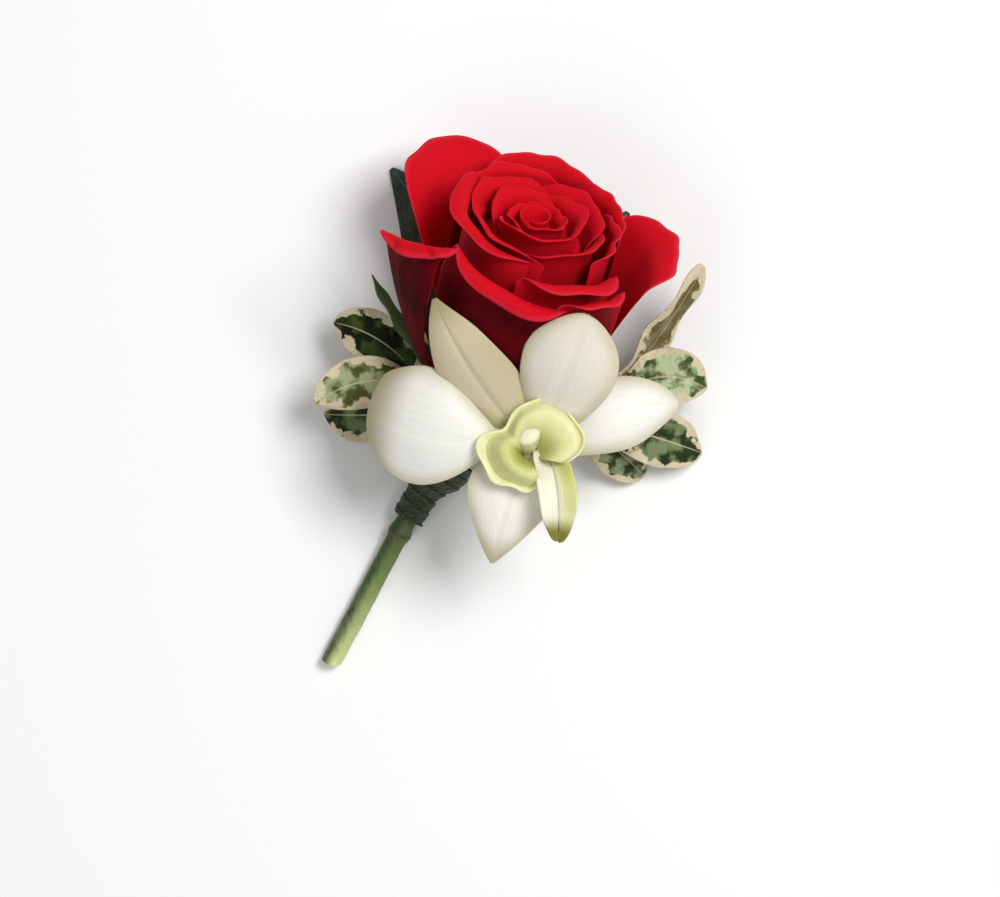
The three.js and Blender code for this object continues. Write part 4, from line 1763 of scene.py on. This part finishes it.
@dataclass
class RoseStem:
    """The rose's stem with its hip, leaf scar and cut end, and the five sepals under the head.

    Values with the ending share are shares of the stem's length, the other sizes are millimetres.
    """

    stalks: StalkTree
    frame: RoseFrame = RoseFrame()
    radius: float = 1.75
    neck_height: float = 0.15
    neck_share: float = 0.5
    neck_length_share: float = 0.3
    hip_radius: float = 3.9
    hip_length: float = 6.5
    hip_share: float = 0.87
    hip_length_share: float = 0.08
    below_hip: float = 1.5
    scar_share: float = 0.445
    scar_height: float = 0.4
    scar_width_share: float = 0.02
    scar_brown: float = 0.8
    brown_width_share: float = 0.006
    rings: int = 200
    past_cut: float = 3.0
    cut_slope: Point = (0.5, 0.6, -0.4)
    low_points: tuple[Point, ...] = (
        (-29.2, -36.6, 1.7),
        (-24.7, -28.2, 1.9),
        (-18.6, -16.6, 2.8),
        (-13.8, -8.2, 4.6),
        (-8.0, 0.5, 5.9),
    )
    sepal: Rib = Rib(2.6, peak=0.3, fullness=1.2, stalk=1.6, cup=0.5, fold=0.1, wave=0.3, waves=4.0)
    sepal_thickness: float = 0.6
    sepal_cells: Cells = (16, 44)
    # Radius and height about the rose's axis, where every sepal starts
    sepal_root: Pair = (3, -2.4)
    # Each sepal's azimuth in degrees, and radius and height of its bend and its tip
    sepals: tuple[tuple[float, Pair, Pair], ...] = (
        (176, (17.2, 6.6), (24.6, 16.5)),
        (228, (12, -3.5), (18, 3)),
        (281, (14.4, 2.2), (15.5, 26.5)),
        (26, (13, -1.5), (20, 5.5)),
        (92, (5, -1), (9, 2.5)),
    )

    def line(self) -> Line:
        """The stem's middle line, from the cut end to the seat."""
        heights = (-self.hip_length - self.below_hip, -self.hip_length / 2, 0.0)
        return Line((*self.low_points, *(self.frame.point(0, 0, height) for height in heights)))

    def radii(self, v: Array) -> Array:
        """Finds the stem's radius.

        Args:
            v: Shares of its length.

        Returns:
            Millimetres at each of them.
        """
        scar = self.scar_height * hump(v, self.scar_share, self.scar_width_share)
        neck = self.neck_height * smooth((v - self.neck_share) / self.neck_length_share)
        hip = (self.hip_radius - self.radius) * smooth((v - self.hip_share) / self.hip_length_share)
        return self.radius + scar + neck + hip

    def build_stem(self) -> Piece:
        """Grows the stem and cuts its low end off at a slant.

        Returns:
            The stem.
        """
        centres = self.line().sampled(self.rings, past=self.past_cut)
        v = np.concatenate([[0], np.linspace(0, 1, self.rings)])
        stain = self.scar_brown * hump(v, self.scar_share, self.brown_width_share)
        stem = self.stalks.grown(
            "rose_stem_stalk",
            path_mesh("stem_path", centres, radius=self.radii(v) * MM, along=v, stain=stain),
            sides=28,
            rings=240,
            bump_size=3 * MM,
            bump_depth=0.35 * MM,
            seed=float(SEED),
            material=Finishes.STEM.material(),
        )
        tangent = centres[1] - centres[0]
        tangent /= np.linalg.norm(tangent)
        slope = np.array(self.cut_slope)
        outward = slope - tangent * slope.dot(tangent) - tangent
        self.cut(stem.data, row_metres(centres[1]), outward)
        stem.data.materials.append(Finishes.PITH.material())
        return stem

    def cut(self, mesh: Mesh, place: Array, outward: Array) -> None:
        """Cuts a stem through and closes the cut with a face of pith.

        Args:
            mesh: The stem's mesh.
            place: A point of the cut, in metres.
            outward: The way the cut face looks.
        """
        form = bmesh.new()
        form.from_mesh(mesh)
        margin = form.verts.layers.float.new("margin")
        everything = [*form.verts, *form.edges, *form.faces]
        cut = bmesh.ops.bisect_plane(
            form, geom=everything, plane_co=place, plane_no=outward, clear_outer=True
        )
        edges = [item for item in cut["geom_cut"] if isinstance(item, bmesh.types.BMEdge)]
        faces = bmesh.ops.holes_fill(form, edges=edges, sides=0)["faces"]
        fan = bmesh.ops.poke(form, faces=faces)
        for vertex in fan["verts"]:
            vertex[margin] = self.radius
        for face in fan["faces"]:
            face.material_index = 1
            face.smooth = False
        bmesh.ops.recalc_face_normals(form, faces=form.faces)
        form.to_mesh(mesh)
        form.free()

    def build_sepals(self) -> Piece:
        """Makes the five sepals.

        Returns:
            One piece.
        """
        draft = Draft()
        axis = tuple(self.frame.axes()[0])
        for azimuth, bend, tip in self.sepals:
            places = (self.sepal_root, bend, tip)
            root, bend, tip = (self.frame.point(radius, azimuth, height) for radius, height in places)
            rib = replace(self.sepal, root=root, bend=bend, tip=tip, facing=axis)
            draft.add_blade(Blade(rib.surface, self.sepal_thickness, *self.sepal_cells))
        return draft.piece("rose_sepals", Finishes.SEPAL.material())

    def build(self) -> list[Piece]:
        """Makes the stem and the sepals.

        Returns:
            The two pieces.
        """
        sepals = self.build_sepals()
        return stands_for([self.build_stem(), sepals], "rose_stem")


# The orchid


@dataclass(frozen=True)
class LipBowl:
    """The lip's side lobes as one bowl round the throat, open where the middle lobe leaves it.

    Lengths are millimetres, angles degrees and the rest shares. The bowl runs from start to end and
    reaches furthest at long_side, with a notch at notch_at. It climbs to a crest, which lies near
    the throat at short_crest and near the margin opposite, and drops behind it, least at
    shallow_side, to a margin that turns up again.
    """

    throat: Point = (4.4, -0.9, 29.6)
    start: float = -12.0
    end: float = 300.0
    reach: float = 8.4
    longer: float = 1.9
    long_side: float = 60.0
    oval: float = 0.6
    closing: float = 0.3
    notch: float = 0.35
    notch_at: float = 125.0
    notch_width: float = 24.0
    bottom: float = 0.1
    crest: float = 0.6
    crest_shift: float = 0.22
    short_crest: float = 200.0
    climb: float = 6.4
    drop: float = 2.8
    drop_less: float = 1.0
    shallow_side: float = 20.0
    drop_length: float = 0.7
    upturn: float = 1.1
    upturn_from: float = 0.6
    scallop: float = 0.35
    scallops: int = 7
    ripple: float = 0.3
    ripples: int = 5

    def surface(self, u: Array, v: Array) -> Array:
        """Forms the bowl's middle surface.

        Args:
            u: Shares round the throat, from -1 to 1.
            v: Shares from the throat to the margin.

        Returns:
            Layout points, one a row.
        """
        long_side, short_crest, shallow_side, notch_at, notch_width = np.radians(
            (self.long_side, self.short_crest, self.shallow_side, self.notch_at, self.notch_width)
        )
        angle = np.radians(self.start + (self.end - self.start) * (u + 1) / 2)
        reach = self.reach + self.longer * np.cos(angle - long_side) + self.oval * np.cos(2 * angle)
        reach = reach * (1 - self.closing * np.abs(u) ** 8)
        reach = reach * (1 - self.notch * hump(angle, notch_at, notch_width))
        reach = reach + self.scallop * np.sin(self.scallops * angle) * v**4
        out = reach * (self.bottom + (1 - self.bottom) * v)
        crest = self.crest - self.crest_shift * np.cos(angle - short_crest)
        before = np.clip(v / crest, 0, 1) ** 0.8
        past = np.clip((v - crest) / (1 - crest), 0, 1)
        drop = self.drop - self.drop_less * np.cos(angle - shallow_side)
        height = self.climb * np.sin(np.pi / 2 * smooth(before))
        height = height - drop * smooth(past / self.drop_length)
        height = height + self.upturn * smooth((past - self.upturn_from) / (1 - self.upturn_from))
        height = height + self.ripple * np.sin(self.ripples * angle) * v**3
        x, y, z = self.throat
        return np.stack([x + out * np.cos(angle), y + out * np.sin(angle), z + height], axis=1)


@dataclass
class Orchid:
    """The dendrobium bloom: two petals and three sepals, the lip with its column, and its stalk.

    Chin is the blunt spur behind the flower, and pouch the lip's part that meets it.
    """

    stalks: StalkTree
    thickness: float = 0.7
    chin: Point = (4.6, 0.9, 25.9)
    chin_radius: float = 3.4
    chin_stretch: float = 1.1
    pouch: Point = (5.2, -0.9, 27.8)
    pouch_radius: float = 2.2
    tepal: Rib = Rib(6.0, peak=0.55, fullness=1.9, stalk=1.8, cup=0.6, furrow=0.3, wave=0.25, waves=2.3)
    left_petal: Rib = replace(
        tepal, root=(4, 1.5, 27.8), bend=(-10.8, -0.1, 38), tip=(-21.8, 7.1, 26.5), half_width=10.8,
        facing=(-0.1, -0.34, 1), peak=0.61, fullness=1.6, petiole=0.18, cup=0.55, furrow=0.1, blunt=5.7,
    )
    right_petal: Rib = replace(
        tepal, root=(5.5, 2, 27.8), bend=(11, 11, 41.8), tip=(14, 22, 42), half_width=8.3,
        peak=0.58, fullness=1.6, cup=0.5,
    )
    dorsal_sepal: Rib = replace(
        tepal, root=(4, 2, 27.8), bend=(-6.4, 13, 37.5), tip=(-10.7, 24.7, 38.9), half_width=6.4,
        facing=(-0.35, -0.1, 1), peak=0.38, fullness=1.1, cup=0.35,
    )
    right_sepal: Rib = replace(
        tepal, root=(6, 1, 27.8), bend=(20, 7.5, 35), tip=(29.8, 7.7, 27), half_width=6.6,
        peak=0.5, fullness=1.5, cup=0.7,
    )
    lower_sepal: Rib = replace(
        tepal, root=(4.5, 0, 27.8), bend=(0.8, -8, 34), tip=(-1.3, -18.8, 25.5), half_width=7.6,
        peak=0.4, fullness=1.1,
    )
    tepal_cells: Cells = (40, 60)
    middle_lobe: Rib = Rib(
        3.4, root=(7.4, 0.2, 30.6), bend=(10.4, -6, 37.8), tip=(9.4, -15, 33.3),
        peak=0.5, fullness=1.8, stalk=1.8, cup=-0.7, furrow=0.5, wave=0.35,
    )
    lobe_cells: Cells = (36, 44)
    bowl: LipBowl = LipBowl()
    bowl_cells: Cells = (110, 40)
    column: tuple[Point, ...] = ((4.6, 0.6, 29.6), (4.5, 2.0, 33.2), (4.2, 3.4, 36.0))
    column_radii: Pair = (1.5, 2.5)
    column_rings: int = 30
    column_sides: int = 24
    column_tone: float = 0.6
    cap_rings: int = 6
    stalk_radii: Pair = (1.0, 1.4)
    stalk: tuple[Point, ...] = (
        (-10, -2, 8.8),
        (-8, 0.4, 9.2),
        (-5, 1.4, 11.2),
        (0.6, -0.7, 17.9),
        (3.6, 0.4, 21.5),
    )

    def build_tepals(self) -> Piece:
        """Makes the petals and sepals with the spur behind them.

        Returns:
            One piece.
        """
        draft = Draft()
        # How much beige painted shade each gets all over, and at its tip
        toned = (
            (self.left_petal, 0.0, 0.9),
            (self.right_petal, 0.3, 0.2),
            (self.dorsal_sepal, 0.8, 0.9),
            (self.right_sepal, 0.0, 0.1),
            (self.lower_sepal, 0.1, 0.6),
        )
        for rib, tone, stain in toned:
            blade = Blade(rib.surface, self.thickness, *self.tepal_cells, tone=tone, stain=stain)
            draft.add_blade(blade)
        draft.add_ball(self.chin, self.chin_radius, self.chin_stretch)
        return draft.piece("orchid_petals", Finishes.TEPAL.material())

    def build_lip(self) -> Piece:
        """Makes the lip's bowl and middle lobe, and the column that stands in the bowl.

        Returns:
            One piece.
        """
        draft = Draft()
        draft.add_blade(Blade(self.bowl.surface, self.thickness, *self.bowl_cells))
        lobe = self.middle_lobe.surface
        draft.add_blade(Blade(lobe, self.thickness, *self.lobe_cells, tone=1.0, stain=1.0))
        draft.add_ball(self.pouch, self.pouch_radius)
        radii = np.linspace(*self.column_radii, self.column_rings)
        # The anther cap rounds the column's end off, all but closed
        cap = np.linspace(0, 1, self.cap_rings)
        radii[-self.cap_rings :] *= np.sqrt(np.maximum(1 - cap**2, 0.001))
        column = Line(self.column).sampled(self.column_rings)
        draft.add_bar(column, radii, self.column_sides, tone=self.column_tone)
        return draft.piece("orchid_lip_flesh", Finishes.LIP.material())

    def build_stalk(self) -> Piece:
        """Grows the flower's own stalk.

        Returns:
            The stalk.
        """
        rings = 60
        radius = np.linspace(*self.stalk_radii, rings) * MM
        centres = Line(self.stalk).sampled(rings)
        return self.stalks.grown(
            "orchid_stalk",
            path_mesh("stalk_path", centres, radius=radius, along=np.linspace(0, 1, rings)),
            sides=18,
            rings=rings,
            bump_size=3 * MM,
            bump_depth=0.15 * MM,
            seed=float(SEED),
            material=Finishes.STALK.material(),
        )

    def build(self) -> list[Piece]:
        """Makes the whole bloom.

        Returns:
            Its pieces.
        """
        return [
            *stands_for([self.build_tepals()], "orchid_tepals"),
            *stands_for([self.build_lip()], "orchid_lip"),
            *stands_for([self.build_stalk()], "orchid_pedicel"),
        ]


# Greenery


class Side(Enum):
    """The two sides on which a pittosporum sprig lies."""

    LEFT = "left"
    RIGHT = "right"


@dataclass(frozen=True)
class SprigLeaf:
    """One leaf of a sprig: its midrib, its half width, how grey-green and tan it is, and its facing."""

    root: Point
    bend: Point
    tip: Point
    half_width: float
    grey: float = 0.0
    tan: float = 0.0
    facing: Point = (0.0, 0.0, 1.0)


TWIGS: dict[Side, tuple[Point, ...]] = {
    Side.LEFT: ((-12.5, -0.1, 5.5), (-10.8, 2.7, 5.9), (-12, 8.5, 7.4), (-13.2, 12, 8.4)),
    Side.RIGHT: ((-7.4, -4, 5.5), (-5.6, -1.6, 5.9), (6, 3, 7.5), (15, 6, 8.5), (19, 9, 9.5)),
}
SPRIG_LEAVES: dict[Side, tuple[SprigLeaf, ...]] = {
    Side.LEFT: (
        SprigLeaf((-12.8, 11, 8), (-19, 20, 16), (-28.4, 21.8, 10), 4.5),
        SprigLeaf((-12.5, 9, 8), (-21, 15, 19), (-31.4, 8, 14), 4.5, grey=0.8, tan=0.2),
        SprigLeaf((-12, 7, 7), (-21, 5.5, 10), (-30.4, 6.2, 4), 4.8, grey=0.25),
        SprigLeaf((-13, 11, 8), (-14.5, 17, 8.4), (-19, 23, 5), 3.6),
    ),
    Side.RIGHT: (
        SprigLeaf((17, 8, 9), (26, 16, 13), (34.4, 31.2, 17), 4.2, 0.6, 0.7, (0.8, -0.65, 0.6)),
        SprigLeaf((18, 8, 9), (27, 15.5, 17), (35.3, 10.5, 10.5), 5.0, grey=1.0),
        SprigLeaf((14, 5.5, 8), (25, 3, 13), (35, -0.5, 2.5), 5.0, grey=0.3),
        SprigLeaf((12, 5, 8), (20, 1, 10), (25, -4.6, 0.4), 4.6, grey=0.5),
    ),
}


@dataclass
class Sprig:
    """A pittosporum twig and its leaves."""

    side: Side
    stalks: StalkTree
    thickness: float = 0.5
    leaf_cells: Cells = (32, 70)
    twig_radii: Pair = (0.95, 0.75)
    # Which stretch of the rose stem's greens the twig shows
    twig_greens: Pair = (0.4, 0.7)
    form: Rib = Rib(4.5, peak=0.62, fullness=1.5, fold=0.12, cup=0.25, wave=0.7, waves=2.5, furrow=0.15)

    def build_twig(self) -> Piece:
        """Grows the twig.

        Returns:
            The twig.
        """
        points = 50
        centres = Line(TWIGS[self.side]).sampled(points)
        radius = np.linspace(*self.twig_radii, points) * MM
        greens = np.linspace(*self.twig_greens, points)
        return self.stalks.grown(
            f"pittosporum_twig_{self.side.value}",
            path_mesh("twig_path", centres, radius=radius, along=greens),
            sides=12,
            rings=60,
            bump_size=2 * MM,
            bump_depth=0.2 * MM,
            seed=float(SEED),
            material=Finishes.STEM.material(),
        )

    def build(self) -> list[Piece]:
        """Makes the leaves and the twig.

        Returns:
            The two pieces.
        """
        draft = Draft()
        for leaf in SPRIG_LEAVES[self.side]:
            rib = replace(
                self.form,
                root=leaf.root,
                bend=leaf.bend,
                tip=leaf.tip,
                half_width=leaf.half_width,
                facing=leaf.facing,
            )
            shades = {"tone": leaf.grey, "stain": leaf.tan}
            draft.add_blade(
                Blade(rib.surface, self.thickness, *self.leaf_cells, edge=LEAF_EDGE, **shades)
            )
        side = self.side.value
        leaves = draft.piece(f"pittosporum_leaves_{side}", Finishes.LEAF.material())
        return stands_for([leaves, self.build_twig()], f"pittosporum_{side}")


@dataclass
class BackingLeaves:
    """The dark leaves that lie behind everything."""

    form: Rib = Rib(
        6.5, peak=0.5, fullness=1.2, stalk=0.75, petiole=0.12, cup=-0.1, fold=0.05, wave=0.15, waves=2.0
    )
    left: Rib = replace(form, root=(-11.3, -0.8, 3.3), bend=(-2, 28, 4), tip=(-18.9, 49, 0.3))
    middle: Rib = replace(
        form, root=(-10, -2, 2.5), bend=(-3.4, 28, -0.6), tip=(2.8, 49.8, 0.5), half_width=7.5
    )
    right: Rib = replace(form, root=(-8.5, -3.3, 2.9), bend=(10.6, 19.5, 2.6), tip=(22.3, 41.4, 0.3))
    thickness: float = 0.6
    leaf_cells: Cells = (28, 70)

    def build(self) -> list[Piece]:
        """Makes the leaves, pressed flat on the surface where they would reach below it.

        Returns:
            Three pieces.
        """
        pieces = []
        for place, rib in (("left", self.left), ("middle", self.middle), ("right", self.right)):
            draft = Draft()
            draft.add_blade(Blade(rib.surface, self.thickness, *self.leaf_cells, edge=LEAF_EDGE))
            draft.vertices[0][:, 2] = np.maximum(draft.vertices[0][:, 2], 0.0)
            leaf = draft.piece(f"dark_leaf_{place}", Finishes.DARK.material())
            pieces += stands_for([leaf], f"backing_leaf_{place}")
        return pieces


@dataclass
class Tape:
    """Stem wrap tape wound round the bundle: a sleeve that narrows down the rose's stem.

    Start, end and the taper's two ends are shares of the stem's line, the others are millimetres.
    """

    stem: RoseStem
    windings: WindingTree
    start: float = 0.5
    end: float = 0.735
    narrow: float = 2.2
    wide: float = 4.9
    taper_start: float = 0.58
    taper_end: float = 0.68
    wall: float = 0.45
    lap: float = 0.3
    steps: int = 600  # along the whole stem, of which the tape keeps its own

    def build(self) -> list[Piece]:
        """Grows the sleeve and gives it a wall.

        Returns:
            One piece.
        """
        v = np.linspace(0, 1, self.steps)
        kept = (v >= self.start) & (v <= self.end)
        taper = smooth((v[kept] - self.taper_start) / (self.taper_end - self.taper_start))
        radius = self.narrow + (self.wide - self.narrow) * taper + self.wall
        centres = self.stem.line().sampled(self.steps)[kept]
        sleeve = self.windings.grown(
            "tape_winding",
            path_mesh("tape_path", centres, radius=radius * MM),
            sides=72,
            rings=260,
            turns=6.0,
            lap=self.lap * MM,
            crinkle_size=1.6 * MM,
            crinkle_depth=0.25 * MM,
            seed=float(SEED),
            material=Finishes.WRAP.material(),
        )
        wall = sleeve.modifiers.new("wall", "SOLIDIFY")
        wall.thickness = self.wall * MM
        wall.offset = -1
        return stands_for([sleeve], "stem_tape")


# The studio


@dataclass
class Studio:
    """A plain pale floor, soft light from the upper right, and a camera that looks straight down.

    The photograph shows so many pixels to the millimetre at the scale's height, and the layout's
    origin in the middle of its width, in the pixel row layout_row. A lamp has a name, a place and a
    side in metres, and a power in watts.
    """

    pixels_per_mm: float = 6.0
    image: tuple[int, int] = (1000, 897)
    layout_row: int = 450
    distance_mm: float = 600.0
    scale_height_mm: float = 26.0
    sensor_mm: float = 36.0
    floor_half: float = 2.0
    floor_colour: str = "#F6F6F5"
    floor_roughness: float = 0.9
    world_colour: str = "#FFFFFF"
    world_strength: float = 0.32
    aim: Point = (0.0, 0.0, 0.02)
    lamps: tuple[tuple[str, Point, float, float], ...] = (
        ("key", (0.26, 0.16, 0.62), 0.26, 3.6),
        ("fill", (-0.25, -0.35, 0.5), 0.5, 0.9),
    )

    def build(self) -> None:
        """Makes the floor, the lights and the camera."""
        self.build_floor()
        for name, place, size, power in self.lamps:
            self.build_lamp(name, place, size, power)
        self.build_camera()
        world = bpy.data.worlds.new("studio")
        world.use_nodes = True
        shade = world.node_tree.nodes["Background"]
        shade.inputs["Color"].default_value = linear(self.world_colour)
        shade.inputs["Strength"].default_value = self.world_strength
        bpy.context.scene.world = world
        bpy.context.scene.view_settings.view_transform = "Standard"

    def build_floor(self) -> None:
        """Makes a wide plane at the resting height."""
        half = self.floor_half
        mesh = bpy.data.meshes.new("floor")
        corners = [(-half, -half, 0), (half, -half, 0), (half, half, 0), (-half, half, 0)]
        mesh.from_pydata(corners, [], [(0, 1, 2, 3)])
        material = bpy.data.materials.new("white card")
        material.use_nodes = True
        shader = material.node_tree.nodes["Principled BSDF"]
        shader.inputs["Base Color"].default_value = linear(self.floor_colour)
        shader.inputs["Roughness"].default_value = self.floor_roughness
        mesh.materials.append(material)
        placed("floor", mesh)

    def build_lamp(self, name: str, place: Point, size: float, power: float) -> None:
        """Makes a square area light that faces the flowers.

        Args:
            name: Its name.
            place: Its place in metres.
            size: Its side in metres.
            power: Its power in watts.
        """
        light = bpy.data.lights.new(name, "AREA")
        light.size = size
        light.energy = power
        lamp = bpy.data.objects.new(name, light)
        lamp.location = place
        way = Vector(self.aim) - Vector(place)
        lamp.rotation_euler = way.to_track_quat("-Z", "Y").to_euler()
        bpy.context.scene.collection.objects.link(lamp)

    def build_camera(self) -> None:
        """Makes the camera, which frames the layout's origin where the photograph shows it."""
        width, height = self.image
        data = bpy.data.cameras.new("camera")
        data.sensor_width = self.sensor_mm
        view_mm = width / self.pixels_per_mm
        data.lens = self.sensor_mm * (self.distance_mm - self.scale_height_mm) / view_mm
        camera = bpy.data.objects.new("camera", data)
        middle_y = (self.layout_row - height / 2) / self.pixels_per_mm
        camera.location = row_metres(np.array([0.0, middle_y, self.distance_mm]))
        bpy.context.scene.collection.objects.link(camera)
        bpy.context.scene.camera = camera


def main() -> None:
    """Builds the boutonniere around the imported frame."""
    logging.basicConfig(level=logging.INFO, format="%(message)s")
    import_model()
    Studio().build()
    stalks = StalkTree()
    stem = RoseStem(stalks)
    parts = (
        Rose(WhorlTree()),
        stem,
        Orchid(stalks),
        Sprig(Side.LEFT, stalks),
        Sprig(Side.RIGHT, stalks),
        BackingLeaves(),
        Tape(stem, WindingTree()),
    )
    for part in parts:
        for piece in part.build():
            LOG.info("%s: %d faces", piece.name, len(piece.data.polygons))


if __name__ == "__main__":
    main()
